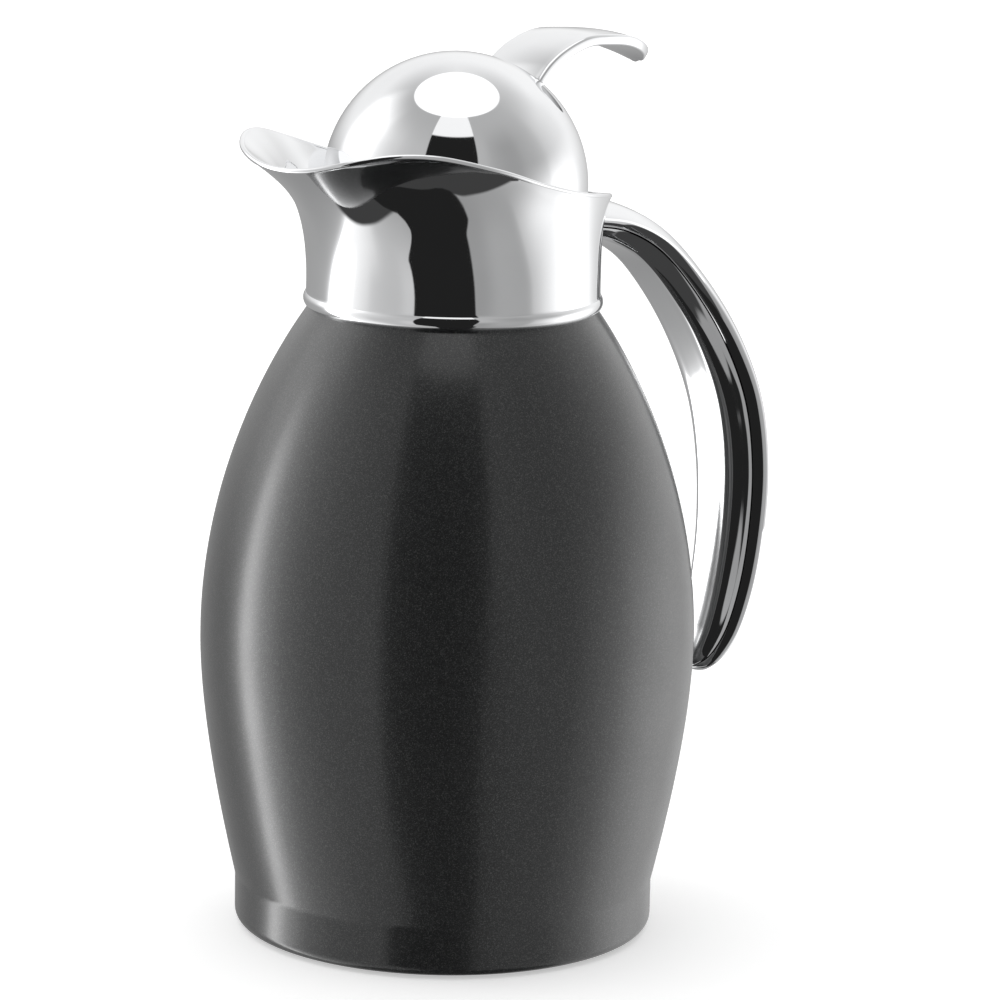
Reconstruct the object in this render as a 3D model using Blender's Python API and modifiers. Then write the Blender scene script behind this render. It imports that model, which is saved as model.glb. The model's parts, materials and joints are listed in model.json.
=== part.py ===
"""Double-walled vacuum carafe that pours over a duck-bill spout when a thumb lever tilts its ball lid.

The origin is the centre of the base on the surface it stands on. The spout points along -X, the handle
along +X, and the carafe is mirror-symmetric about the plane Y = 0. Sizes are in millimetres, and the
helpers turn them into Blender's metres.
"""

import math

import bmesh
import bpy
from mathutils import Matrix, Vector

MM = 0.001
GAP = 0.3  # between pieces that touch
MERGE = 0.01 * MM
TURN_STEPS = 32

# Vessel
BELLY_RADIUS = 65.0
BELLY_Z = 78.1
SHOULDER_RADIUS = 37.35
SHOULDER_Z = 165.7
FOOT_RADIUS = 55.3
FOOT_Z = 13.0
FOOT_CORNER = 3.0
SHELL_BOTTOM_Z = 0.6
SHELL_WALL = 0.9
LINER_WALL = 0.8
VACUUM_GAP = 6.0
LINER_BOTTOM_Z = 13.5
LINER_CORNER = 8.0
NECK_RADIUS = 30.0
NECK_BASE_Z = 169.8
NECK_TOP_Z = 175.0
FLANGE_RADIUS = 31.4
PAD_RADIUS = 50.0
PAD_THICKNESS = 1.6
EVACUATION_RADIUS = 3.0

# Collar
WAIST_RADIUS = 37.15
WAIST_Z = 172.0
COLLAR_BOTTOM_Z = 166.1
COLLAR_WALL = 1.1
BEAD_RADIUS = 37.9
BEAD_Z = 167.6
BEAD_HEIGHT = 3.2
COLLAR_BORE = 35.4  # what fits inside the waist

# Half of the rim, from the rear to the spout's tip: x, y, z, and how far the wall leans out there.
RIM = (
    (40.4, 0.0, 193.2, 24.0),
    (37.1, 15.6, 194.0, 23.0),
    (28.5, 27.6, 196.0, 22.0),
    (8.6, 37.6, 199.3, 20.0),
    (-6.5, 39.4, 203.0, 24.0),
    (-23.2, 39.0, 208.2, 38.0),
    (-40.0, 32.6, 212.2, 50.0),
    (-49.6, 26.8, 212.4, 54.0),
    (-57.0, 19.0, 210.4, 56.0),
    (-60.7, 9.5, 208.2, 56.0),
    (-61.8, 0.0, 207.5, 56.0),
)
COLUMN_ANGLE = 12.0  # largest step in azimuth between the wall's columns, in degrees
WALL_ROWS = 6
FOOT_PULL = 0.42  # how strongly the wall starts upright, and ends at its lean
RIM_PULL = 0.3

# Funnel and stopper share one conical seat.
SEAT_RADIUS = 21.5
SEAT_Z = 170.0
SEAT_SLOPE = 0.6
FUNNEL_BASE_Z = 178.4
FUNNEL_TOP_Z = 181.5
FUNNEL_SKIRT_RADIUS = 27.8
COLLAR_SCREW_CIRCLE = 33.6
COLLAR_SCREW_COUNT = 3

# Lid
DOME_RADIUS = 34.4
DOME_Z = 197.5
DOME_WALL = 1.0
DOME_BOTTOM_Z = 187.0
INSERT_BOTTOM_Z = 184.8
INSERT_RADIUS = 32.8
STOPPER_RADIUS = 24.5
INSULATION_TOP_Z = 206.0

# Hinge
PIN_X = 38.0
PIN_Z = 196.0
PIN_RADIUS = 1.2
PIN_LENGTH = 11.4
KNUCKLE_RADIUS = 2.4
PIN_HOLE = 1.4
ARM_HALF_WIDTH = 3.0
ARM_INNER_X = 34.75
ARM_OUTER_X = 35.6
ARM_BOTTOM_Z = 183.4
EAR_INNER_Y = 3.7
EAR_THICKNESS = 1.2
NOTCH_HALF_WIDTH = 7.0
NOTCH_Z = 190.5
BRACKET_RADIUS = 34.9
BRACKET_WALL = 1.0
SPRING_WIRE_RADIUS = 0.28
SPRING_RADIUS = 1.85
SPRING_TURNS = 2.5
SPRING_HOOK_Z = 187.9

# Lever: centre line of its upper face, from its root on the dome to its tip.
LEVER_LINE = (
    (16.0, 221.6),
    (19.0, 225.2),
    (23.0, 228.9),
    (28.5, 232.1),
    (37.5, 234.9),
    (46.0, 234.9),
    (54.0, 233.9),
    (61.0, 231.7),
    (66.0, 229.2),
    (69.3, 226.6),
)
LEVER_STEPS = 2
LEVER_HALF_WIDTH = 11.1
LEVER_TIP_START = 44.0
LEVER_ROOT_THICKNESS = 6.5
LEVER_THICKNESS = 3.6
LEVER_EDGE = 3.0
LEVER_CROWN = 0.8
LEVER_SCREW_Y = 5.0
LEVER_SCREW_TILT = math.radians(38.7)

# Handle: centre line x, z, then half of its thickness and half of its width there.
HANDLE_LINE = (
    (34.0, 186.2, 6.6, 11.0),
    (44.0, 185.4, 6.4, 11.0),
    (56.0, 183.0, 6.3, 11.1),
    (69.5, 176.5, 6.6, 11.4),
    (83.5, 163.9, 7.2, 12.0),
    (96.5, 147.5, 8.0, 12.7),
    (105.5, 130.0, 8.5, 12.9),
    (109.5, 111.0, 8.5, 12.5),
    (109.6, 92.0, 8.4, 11.6),
    (106.8, 75.0, 8.1, 10.7),
    (102.3, 63.0, 6.9, 9.4),
    (97.6, 56.4, 5.0, 7.2),
    (94.4, 53.6, 2.4, 3.6),
)
HANDLE_WALL = 1.8
HANDLE_PARTING = -0.325  # of the half thickness, on the side of the fingers

# Half of the handle's section, from the spine to the side of the fingers: how far outwards, as a share of the
# half thickness, and how far sideways, as a share of the half width.
HANDLE_SECTION = (
    (0.812, 0.0),
    (0.66, 0.54),
    (0.44, 0.79),
    (0.16, 1.005),
    (0.06, 1.055),
    (-0.04, 1.045),
    (-0.42, 0.8),
    (-0.8, 0.575),
    (-0.905, 0.46),
    (-0.92, 0.27),
    (-0.925, 0.0),
)
HANDLE_STEPS = 2
ANCHOR_LENGTH = 12.0
HANDLE_SCREW_Y = 5.5
HANDLE_SCREW_Z = 185.7
HANDLE_SCREW_RADIUS = 1.25
HANDLE_SCREW_HOLE = 1.45


def clear_scene():
    for obj in list(bpy.data.objects):
        bpy.data.objects.remove(obj, do_unlink=True)


def new_collection(name):
    collection = bpy.data.collections.new(name)
    bpy.context.scene.collection.children.link(collection)
    return collection


clear_scene()
PARTS = new_collection("vacuum_carafe")
CUTTERS = new_collection("cutters")
CUTTERS.hide_render = True


def material(name, color, metallic, roughness):
    mat = bpy.data.materials.new(name)
    mat.use_nodes = True
    shader = mat.node_tree.nodes["Principled BSDF"]
    shader.inputs["Base Color"].default_value = (*color, 1.0)
    shader.inputs["Metallic"].default_value = metallic
    shader.inputs["Roughness"].default_value = roughness
    return mat


CHROME = material("chrome", (0.84, 0.85, 0.87), 1.0, 0.04)
POWDER_COAT = material("powder_coat", (0.045, 0.047, 0.05), 0.35, 0.45)
STEEL = material("steel", (0.58, 0.58, 0.57), 1.0, 0.3)
ZINC = material("zinc", (0.5, 0.5, 0.52), 1.0, 0.45)
BLACK_PLASTIC = material("black_plastic", (0.02, 0.02, 0.022), 0.0, 0.4)
SILICONE = material("silicone", (0.55, 0.56, 0.57), 0.0, 0.5)
RUBBER = material("rubber", (0.025, 0.025, 0.025), 0.0, 0.75)
FOAM = material("foam", (0.8, 0.78, 0.7), 0.0, 0.9)
GETTER = material("getter_metal", (0.3, 0.29, 0.28), 0.6, 0.6)


# Outlines


def arc(centre, radius, start, end, steps):
    """Points on a circle in a plane of two coordinates, with angles in degrees."""
    angles = [math.radians(start + (end - start) * step / steps) for step in range(steps + 1)]
    return [(centre[0] + radius * math.cos(a), centre[1] + radius * math.sin(a)) for a in angles]


def bezier(p0, p1, p2, p3, steps):
    points = []
    for step in range(steps + 1):
        t = step / steps
        weights = ((1 - t) ** 3, 3 * (1 - t) ** 2 * t, 3 * (1 - t) * t * t, t**3)
        points.append(sum((Vector(p) * w for p, w in zip((p0, p1, p2, p3), weights)), Vector(p0) * 0))
    return points


def through(points, steps):
    """A centripetal Catmull-Rom curve through the points, which may have any number of coordinates.

    The steps are a list, with the number of pieces between each point and the next.
    """
    points = [Vector(p) for p in points]
    points = [2 * points[0] - points[1], *points, 2 * points[-1] - points[-2]]
    curve = []
    for i in range(1, len(points) - 2):
        p0, p1, p2, p3 = points[i - 1 : i + 3]
        t1 = (p1 - p0).length ** 0.5
        t2 = t1 + (p2 - p1).length ** 0.5
        t3 = t2 + (p3 - p2).length ** 0.5
        count = steps[i - 1]
        for step in range(count):
            t = t1 + (t2 - t1) * step / count
            a1 = ((t1 - t) * p0 + t * p1) / t1
            a2 = ((t2 - t) * p1 + (t - t1) * p2) / (t2 - t1)
            a3 = ((t3 - t) * p2 + (t - t2) * p3) / (t3 - t2)
            b1 = ((t2 - t) * a1 + t * a2) / t2
            b2 = ((t3 - t) * a2 + (t - t1) * a3) / (t3 - t1)
            curve.append(((t2 - t) * b1 + (t - t1) * b2) / (t2 - t1))
    curve.append(points[-2])
    return curve


def inset(points, distance):
    """The outline moved to its right, which is inwards when it runs down the outer side."""
    moved = []
    for i, (r, z) in enumerate(points):
        before = points[max(i - 1, 0)]
        after = points[min(i + 1, len(points) - 1)]
        along = Vector((after[0] - before[0], after[1] - before[1])).normalized()
        moved.append((r + along[1] * distance, z - along[0] * distance))
    return moved


def egg():
    """The belly from the shoulder down to the foot."""
    widest = (BELLY_RADIUS, BELLY_Z)
    upper = bezier((SHOULDER_RADIUS, SHOULDER_Z), (46.3, 153.3), (BELLY_RADIUS, 120.9), widest, 6)
    lower = bezier(widest, (BELLY_RADIUS, 56.0), (58.6, 27.0), (FOOT_RADIUS, FOOT_Z), 3)
    return [tuple(p) for p in upper[:-1] + lower]


# Solids


def finish(obj, mat, sharp=40.0):
    """Puts a mesh object among the parts, with its material and smooth shading."""
    PARTS.objects.link(obj)
    obj.data.materials.clear()
    obj.data.materials.append(mat)
    obj.data.shade_smooth()
    obj.data.set_sharp_from_angle(angle=math.radians(sharp))
    return obj


def profile_object(name, profile, steps, closed):
    """A profile in the plane XZ, turned round Z by a Screw modifier."""
    mesh = bpy.data.meshes.new(name)
    vertices = [(r * MM, 0.0, z * MM) for r, z in profile]
    edges = [(i, i + 1) for i in range(len(vertices) - 1)]
    if closed:
        edges.append((len(vertices) - 1, 0))
    mesh.from_pydata(vertices, edges, [])
    obj = bpy.data.objects.new(name, mesh)
    screw = obj.modifiers.new("turn", "SCREW")
    screw.steps = steps
    screw.render_steps = steps
    screw.use_merge_vertices = True
    screw.merge_threshold = MERGE
    return obj


def turned(name, profile, mat, steps=TURN_STEPS):
    """A turned piece. A profile that doesn't start on the axis is closed into a ring."""
    closed = profile[0][0] > 0
    return finish(profile_object(name, profile, steps, closed), mat)


def turned_mesh(profile, steps):
    """The mesh of a small turned piece, for pieces that are copied."""
    obj = profile_object("turning", profile, steps, profile[0][0] > 0)
    CUTTERS.objects.link(obj)
    graph = bpy.context.evaluated_depsgraph_get()
    mesh = bpy.data.meshes.new_from_object(obj.evaluated_get(graph))
    bpy.data.objects.remove(obj)
    return mesh


def at(name, mesh, place, mat):
    obj = finish(bpy.data.objects.new(name, mesh), mat)
    obj.matrix_world = place
    return obj


def copies(name, mesh, places, mat):
    """A numbered object for each place, all of which share the mesh."""
    for number, place in enumerate(places, start=1):
        at(f"{name}_{number}", mesh, place, mat)


def placed(origin, direction):
    """A matrix that puts Z = 0 at the origin and points +Z along the direction."""
    turn = Vector((0, 0, 1)).rotation_difference(Vector(direction)).to_matrix().to_4x4()
    return Matrix.Translation(Vector(origin) * MM) @ turn


def rod_mesh(radius, length, segments=12):
    """A cylinder from Z = 0 to its length."""
    bm = bmesh.new()
    bmesh.ops.create_cone(
        bm,
        cap_ends=True,
        segments=segments,
        radius1=radius * MM,
        radius2=radius * MM,
        depth=length * MM,
        matrix=Matrix.Translation((0, 0, length * MM / 2)),
    )
    mesh = bpy.data.meshes.new("rod")
    bm.to_mesh(mesh)
    bm.free()
    return mesh


def screw_mesh(head_radius, head_height, shank_radius, length):
    """A screw or pin whose head's underside is at Z = 0 and whose shank runs along +Z."""
    profile = [
        (0.0, length),
        (shank_radius, length),
        (shank_radius, 0.0),
        (head_radius, 0.0),
        (head_radius, -head_height),
        (0.0, -head_height),
    ]
    return turned_mesh(profile, 12)


def box(low_x, high_x, low_z, high_z):
    return [(low_x, low_z), (high_x, low_z), (high_x, high_z), (low_x, high_z)]


def prism(name, outline, high_y, low_y=None):
    """An outline in the plane XZ, made thick from low_y to high_y, or to both sides of the plane."""
    if low_y is None:
        low_y = -high_y
    bm = bmesh.new()
    face = bm.faces.new([bm.verts.new((x * MM, low_y * MM, z * MM)) for x, z in outline])
    grown = bmesh.ops.extrude_face_region(bm, geom=[face])
    moved = [item for item in grown["geom"] if isinstance(item, bmesh.types.BMVert)]
    bmesh.ops.translate(bm, verts=moved, vec=(0, (high_y - low_y) * MM, 0))
    bmesh.ops.recalc_face_normals(bm, faces=bm.faces)
    mesh = bpy.data.meshes.new(name)
    bm.to_mesh(mesh)
    bm.free()
    return bpy.data.objects.new(name, mesh)


def loft_mesh(rings, closed=True, capped=True):
    """Skins rings of points, given in millimetres, that all have the same number of points."""
    bm = bmesh.new()
    rows = [[bm.verts.new(Vector(p) * MM) for p in ring] for ring in rings]
    count = len(rows[0])
    for low, high in zip(rows, rows[1:]):
        for i in range(count if closed else count - 1):
            j = (i + 1) % count
            bm.faces.new((low[i], low[j], high[j], high[i]))
    if capped:
        bm.faces.new(rows[0][::-1])
        bm.faces.new(rows[-1])
        bmesh.ops.recalc_face_normals(bm, faces=bm.faces)
    mesh = bpy.data.meshes.new("loft")
    bm.to_mesh(mesh)
    bm.free()
    return mesh


def combine(obj, other, operation="DIFFERENCE"):
    """Cuts the other from the object, or joins it, and keeps the other as a hidden cutter."""
    if other.name not in CUTTERS.objects:
        CUTTERS.objects.link(other)
    other.hide_render = True
    other.display_type = "WIRE"
    boolean = obj.modifiers.new(other.name, "BOOLEAN")
    boolean.operation = operation
    boolean.object = other
    return obj


def cut_holes(obj, radius, length, places):
    for place in places:
        hole = bpy.data.objects.new(f"{obj.name}_hole", rod_mesh(radius, length))
        hole.matrix_world = place
        combine(obj, hole)
    return obj


# Vessel


def outer_shell():
    belly = egg()
    corner = arc((FOOT_RADIUS - FOOT_CORNER, SHELL_BOTTOM_Z + FOOT_CORNER), FOOT_CORNER, 0, -90, 3)
    lip_end = (PAD_RADIUS + 2 * GAP, SHELL_BOTTOM_Z)
    neck = [(NECK_RADIUS, NECK_TOP_Z), (NECK_RADIUS, NECK_BASE_Z), (34.0, 168.2), (35.4, SHOULDER_Z + 0.2)]
    outside = neck + belly + corner + [lip_end]
    inside = inset(outside, SHELL_WALL)
    inside[0] = (NECK_RADIUS - SHELL_WALL, NECK_TOP_Z)
    inside[-1] = (lip_end[0], SHELL_BOTTOM_Z + SHELL_WALL)
    return turned("outer_shell", outside + inside[::-1], POWDER_COAT)


def inner_liner():
    gap = SHELL_WALL + VACUUM_GAP
    belly = [p for p in inset(egg(), gap) if p[1] > LINER_BOTTOM_Z + LINER_CORNER]
    corner_radius = belly[-1][0] - 0.6
    centre = (corner_radius - LINER_CORNER, LINER_BOTTOM_Z + LINER_CORNER)
    corner = arc(centre, LINER_CORNER, 0, -90, 3)
    neck_radius = NECK_RADIUS - SHELL_WALL - GAP
    neck = [(neck_radius, NECK_TOP_Z + GAP), (neck_radius, 168.0), (neck_radius + 0.9, 164.6)]
    wall = neck + belly + corner
    inside = inset(wall, LINER_WALL)
    inside[0] = (neck_radius - LINER_WALL, NECK_TOP_Z + GAP + 1.0)
    flange = [(FLANGE_RADIUS, NECK_TOP_Z + GAP + 1.0), (FLANGE_RADIUS, NECK_TOP_Z + GAP)]
    profile = [(0.0, LINER_BOTTOM_Z + LINER_WALL)] + inside[::-1] + flange + wall + [(0.0, LINER_BOTTOM_Z)]
    return turned("inner_liner", profile, STEEL)


def base_parts():
    plate_z = SHELL_BOTTOM_Z + SHELL_WALL + GAP
    plate_radius = FOOT_RADIUS - SHELL_WALL - 2.0
    plate = [(plate_radius, plate_z + 1.0), (plate_radius, plate_z)]
    plate += [(EVACUATION_RADIUS, plate_z), (EVACUATION_RADIUS, plate_z + 1.0)]
    turned("base_plate", plate, STEEL)
    plug_radius = EVACUATION_RADIUS - GAP
    plug = [(0.0, plate_z + 1.6), (plug_radius, plate_z + 1.2), (plug_radius, plate_z + 0.1)]
    plug += [(0.0, plate_z + 0.1)]
    turned("evacuation_plug", plug, GETTER, 16)
    getter_top = LINER_BOTTOM_Z - GAP
    getter_low = getter_top - 3.2
    getter = [(0.0, getter_top), (8.0, getter_top), (8.0, getter_low + 0.8), (7.0, getter_low)]
    getter += [(0.0, getter_low)]
    turned("getter", getter, GETTER, 24)
    pad = [(0.0, PAD_THICKNESS), (PAD_RADIUS, PAD_THICKNESS), (PAD_RADIUS, 0.6), (PAD_RADIUS - 0.6, 0.0)]
    pad += [(0.0, 0.0)]
    turned("base_pad", pad, RUBBER)


# Collar


def rim_azimuth(rim):
    """Angle from the spout, in degrees."""
    return math.degrees(math.atan2(rim[1], -rim[0]))


def rim_curve():
    """The whole rim as columns, each a point and the lean of the wall there."""
    x, y, z, lean = RIM[1]
    past_rear = (x, -y, z, lean)
    x, y, z, lean = RIM[-2]
    past_tip = (x, -y, z, lean)
    turns = [rim_azimuth(a) - rim_azimuth(b) for a, b in zip(RIM, RIM[1:])]
    steps = [max(2, math.ceil(turn / COLUMN_ANGLE)) for turn in turns]
    one_side = through([past_rear, *RIM, past_tip], [1, *steps, 1])[1:-1]
    other_side = [Vector((x, -y, z, lean)) for x, y, z, lean in one_side[-2:0:-1]]
    return one_side + other_side


def wall_column(rim, along):
    """Points of one column of the collar, from its bottom edge up to the rim."""
    x, y, z, lean = rim
    radial = Vector((x, y, 0.0)).normalized()
    half_bead = BEAD_HEIGHT / 2
    bead = [
        (WAIST_RADIUS, COLLAR_BOTTOM_Z),
        (BEAD_RADIUS - 0.35, COLLAR_BOTTOM_Z + 0.3),
        (BEAD_RADIUS, BEAD_Z),
        (BEAD_RADIUS - 0.4, BEAD_Z + half_bead * 0.7),
        (WAIST_RADIUS + 0.05, BEAD_Z + half_bead),
    ]
    points = [radial * radius + Vector((0, 0, height)) for radius, height in bead]
    foot = radial * WAIST_RADIUS + Vector((0, 0, WAIST_Z))
    top = Vector((x, y, z))
    outward = Vector((along[1], -along[0], 0.0)).normalized()
    tilt = math.radians(lean)
    rise = outward * math.sin(tilt) + Vector((0, 0, math.cos(tilt)))
    reach = (top - foot).length
    upright = foot + Vector((0, 0, FOOT_PULL * reach))
    return points + bezier(foot, upright, top - rise * RIM_PULL * reach, top, WALL_ROWS)


def spout_collar():
    rims = rim_curve()
    count = len(rims)
    columns = []
    for i, rim in enumerate(rims):
        along = rims[(i + 1) % count] - rims[i - 1]
        columns.append(wall_column(rim, along))
    rings = [list(ring) for ring in zip(*columns)]
    obj = bpy.data.objects.new("spout_collar", loft_mesh(rings, capped=False))
    solidify = obj.modifiers.new("wall", "SOLIDIFY")
    solidify.thickness = COLLAR_WALL * MM
    solidify.offset = -1.0
    finish(obj, CHROME)
    notch = box(PIN_X - 6.0, PIN_X + 6.0, NOTCH_Z, NOTCH_Z + 12.0)
    combine(obj, prism("hinge_notch", notch, NOTCH_HALF_WIDTH))
    return cut_holes(obj, HANDLE_SCREW_HOLE, 8.0, handle_screw_places(33.0))


def seat_radius(z):
    return SEAT_RADIUS + SEAT_SLOPE * (z - SEAT_Z)


def funnel_parts():
    ring_top = NECK_TOP_Z - GAP
    inner = NECK_RADIUS + GAP
    ring = [(COLLAR_BORE, ring_top), (COLLAR_BORE, NECK_BASE_Z + 1.0), (COLLAR_BORE - 1.2, NECK_BASE_Z)]
    ring += [(inner + 2.0, NECK_BASE_Z), (inner, NECK_BASE_Z + 1.0), (inner, ring_top)]
    neck_ring = turned("neck_ring", ring, BLACK_PLASTIC)
    flange_top = NECK_TOP_Z + GAP + 1.0
    gasket_top = FUNNEL_BASE_Z - GAP
    gasket_inner = NECK_RADIUS - SHELL_WALL - GAP - LINER_WALL + 0.2
    gasket = [(FLANGE_RADIUS, gasket_top), (FLANGE_RADIUS, flange_top + GAP)]
    gasket += [(gasket_inner, flange_top + GAP), (gasket_inner, gasket_top)]
    turned("neck_gasket", gasket, SILICONE)
    funnel = [(COLLAR_BORE, FUNNEL_TOP_Z), (COLLAR_BORE, FUNNEL_BASE_Z), (FUNNEL_SKIRT_RADIUS, FUNNEL_BASE_Z)]
    funnel += [(FUNNEL_SKIRT_RADIUS, SEAT_Z), (SEAT_RADIUS, SEAT_Z)]
    funnel += [(seat_radius(FUNNEL_TOP_Z), FUNNEL_TOP_Z)]
    funnel_insert = turned("funnel_insert", funnel, BLACK_PLASTIC)
    places = []
    for number in range(COLLAR_SCREW_COUNT):
        angle = 2 * math.pi * (number + 0.5) / COLLAR_SCREW_COUNT
        spot = Vector((math.cos(angle), math.sin(angle), 0.0)) * COLLAR_SCREW_CIRCLE
        places.append(placed(spot + Vector((0, 0, FUNNEL_TOP_Z + GAP)), (0, 0, -1)))
    shank = FUNNEL_TOP_Z - NECK_BASE_Z - 2.0
    copies("collar_screw", screw_mesh(1.8, 1.3, 1.1, shank), places, STEEL)
    cut_holes(funnel_insert, 1.4, shank + 2 * GAP, places)
    cut_holes(neck_ring, 1.4, shank + 2 * GAP, places)


# Handle


def half_section(thickness, width):
    """Points (outwards, sideways) from the middle of the spine to the middle of the finger side."""
    past_spine, past_fingers = ((out, -side) for out, side in (HANDLE_SECTION[1], HANDLE_SECTION[-2]))
    steps = [1] + [4] * (len(HANDLE_SECTION) - 1) + [1]
    curve = through([past_spine, *HANDLE_SECTION, past_fingers], steps)[1:-1]
    return [Vector((out * thickness, side * width)) for out, side in curve]


def mirrored(points):
    return [Vector((out, -side)) for out, side in points]


def resampled(points, steps):
    """The polyline as a number of steps of equal length."""
    lengths = [0.0]
    for before, after in zip(points, points[1:]):
        lengths.append(lengths[-1] + (after - before).length)
    result = []
    i = 0
    for step in range(steps + 1):
        goal = lengths[-1] * step / steps
        while i < len(points) - 2 and lengths[i + 1] < goal:
            i += 1
        result.append(points[i].lerp(points[i + 1], (goal - lengths[i]) / (lengths[i + 1] - lengths[i])))
    return result


def section_arc(thickness, width, level, outer, steps):
    """The section outside, or inside, of a level across its thickness, from one side to the other."""
    half = half_section(thickness, width)
    cut = next(i for i, point in enumerate(half) if point[0] < level)
    above, below = half[cut - 1], half[cut]
    edge = above.lerp(below, (above[0] - level) / (above[0] - below[0]))
    part = [edge] + (half[:cut][::-1] if outer else half[cut:])
    return resampled(part + mirrored(part[-2::-1]), steps)


def section_ring(thickness, width, count):
    half = half_section(thickness, width)
    return resampled(half + mirrored(half[-2::-1]), count)[:-1]


def handle_stations():
    line = through(HANDLE_LINE, [HANDLE_STEPS] * (len(HANDLE_LINE) - 1))
    stations = []
    for i, (x, z, thickness, width) in enumerate(line):
        before = line[max(i - 1, 0)]
        after = line[min(i + 1, len(line) - 1)]
        along = Vector((after[0] - before[0], 0, after[1] - before[1])).normalized()
        outward = Vector((-along[2], 0, along[0]))
        stations.append((Vector((x, 0, z)), outward, thickness, width))
    return stations


def handle_ring(station, section):
    centre, outward, _, _ = station
    return [centre + outward * out + Vector((0, side, 0)) for out, side in section]


def spine_section(station):
    _, _, thickness, width = station
    level = HANDLE_PARTING * thickness
    wall = min(HANDLE_WALL, 0.4 * thickness)
    skin = section_arc(thickness, width, level, True, 14)
    core = section_arc(thickness - wall, width - wall, level, True, 8)
    return skin + core[::-1]


def cover_section(station):
    _, _, thickness, width = station
    level = HANDLE_PARTING * thickness - min(GAP, 0.1 * thickness)
    wall = min(HANDLE_WALL, 0.3 * thickness)
    skin = section_arc(thickness, width, level, False, 6)
    core = section_arc(thickness - wall, width - wall, min(level, -0.2), False, 4)
    return skin + core[::-1]


def collar_cutter():
    """The rear of the collar as a turned solid, grown by the gap."""
    rear = wall_column(RIM[0], (0.0, 1.0))
    outside = [(point[0] + 1.4 * GAP, point[2]) for point in reversed(rear)]
    profile = [(0.0, outside[0][1]), *outside, (0.0, outside[-1][1])]
    return profile_object("collar_cutter", profile, 48, False)


def handle_screw_places(start_x):
    return [placed((start_x, side * HANDLE_SCREW_Y, HANDLE_SCREW_Z), (1, 0, 0)) for side in (1, -1)]


def handle_parts():
    stations = handle_stations()
    cutter = collar_cutter()
    for name, section in (("handle_outer", spine_section), ("handle_inner", cover_section)):
        rings = [handle_ring(station, section(station)) for station in stations]
        obj = finish(bpy.data.objects.new(name, loft_mesh(rings)), CHROME)
        combine(obj, cutter)
    clearance = HANDLE_WALL + 3 * GAP
    rings = []
    for station in stations:
        if station[0][0] > PIN_X + ANCHOR_LENGTH:
            break
        _, _, thickness, width = station
        rings.append(handle_ring(station, section_ring(thickness - clearance, width - clearance, 20)))
    anchor = finish(bpy.data.objects.new("handle_anchor", loft_mesh(rings)), ZINC)
    combine(anchor, cutter)
    cut_holes(anchor, HANDLE_SCREW_HOLE, 14.0, handle_screw_places(33.0))
    head = 2.1
    head_x = math.sqrt(BRACKET_RADIUS**2 - (HANDLE_SCREW_Y + head) ** 2) - 0.1
    mesh = screw_mesh(head, 1.1, HANDLE_SCREW_RADIUS, 12.0)
    copies("handle_screw", mesh, handle_screw_places(head_x), STEEL)


# Hinge


def boss_outline(radius, start, end, steps=8):
    return arc((PIN_X, PIN_Z), radius, start, end, steps)


def pin_place(start_y):
    return placed((PIN_X, start_y, PIN_Z), (0, 1, 0))


def hinge_bracket():
    outer = BRACKET_RADIUS + BRACKET_WALL
    low, high = 181.9, 188.6
    spread = 17.5
    arcs = [arc((0, 0), radius, -spread, spread, 10) for radius in (outer, BRACKET_RADIUS)]
    loop = arcs[0] + arcs[1][::-1]
    rings = [[(x, y, height) for x, y in loop] for height in (low, high)]
    bracket = finish(bpy.data.objects.new("hinge_bracket", loft_mesh(rings)), STEEL)
    slot_half = ARM_HALF_WIDTH + 0.4
    combine(bracket, prism("arm_slot", box(30.0, 40.0, low + 1.1, high + 1.0), slot_half))
    inner_x = ARM_INNER_X
    stem = [(inner_x, 184.0), (inner_x + 1.15, 184.0), (inner_x + 1.5, NOTCH_Z), (39.2, NOTCH_Z + GAP + 2.9)]
    ear = stem + boss_outline(KNUCKLE_RADIUS, -50, 170) + [(inner_x + 0.1, 192.0)]
    for side in (1, -1):
        combine(bracket, prism("ear", ear, side * EAR_INNER_Y, side * (EAR_INNER_Y + EAR_THICKNESS)), "UNION")
    cut_holes(bracket, PIN_HOLE, 20.0, [pin_place(-10.0)])
    return cut_holes(bracket, HANDLE_SCREW_HOLE, 8.0, handle_screw_places(31.0))


def hinge_arm():
    leg_end = 27.2
    leg_top = ARM_BOTTOM_Z + 1.1
    split_z = 190.6
    outline = [(leg_end, ARM_BOTTOM_Z), (ARM_OUTER_X, ARM_BOTTOM_Z), (ARM_OUTER_X, split_z)]
    outline += [(ARM_INNER_X, split_z), (ARM_INNER_X, leg_top), (leg_end, leg_top)]
    arm = finish(prism("hinge_arm", outline, ARM_HALF_WIDTH), STEEL)
    knuckle = [(ARM_INNER_X, split_z - 1.0), (ARM_OUTER_X, split_z - 1.0), (ARM_OUTER_X, 191.8)]
    knuckle += [(37.2, 193.7)]
    knuckle += boss_outline(KNUCKLE_RADIUS, -100, 180, 12) + [(ARM_INNER_X, 193.0)]
    combine(arm, prism("knuckle", knuckle, -0.2, -ARM_HALF_WIDTH), "UNION")
    cut_holes(arm, PIN_HOLE, 8.0, [pin_place(-4.0)])
    cut_holes(arm, 0.6, 3.0, [placed((33.5, 0.45, SPRING_HOOK_Z), (1, 0, 0))])
    spots = [placed((x, 0.0, ARM_BOTTOM_Z - 0.1), (0, 0, 1)) for x in (28.8, 32.0)]
    cut_holes(arm, 0.95, 3.0, [placed((x, 0.0, ARM_BOTTOM_Z - 1.0), (0, 0, 1)) for x in (28.8, 32.0)])
    copies("hinge_arm_screw", screw_mesh(1.2, 0.7, 0.75, 2.9), spots, STEEL)
    return spots


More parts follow.
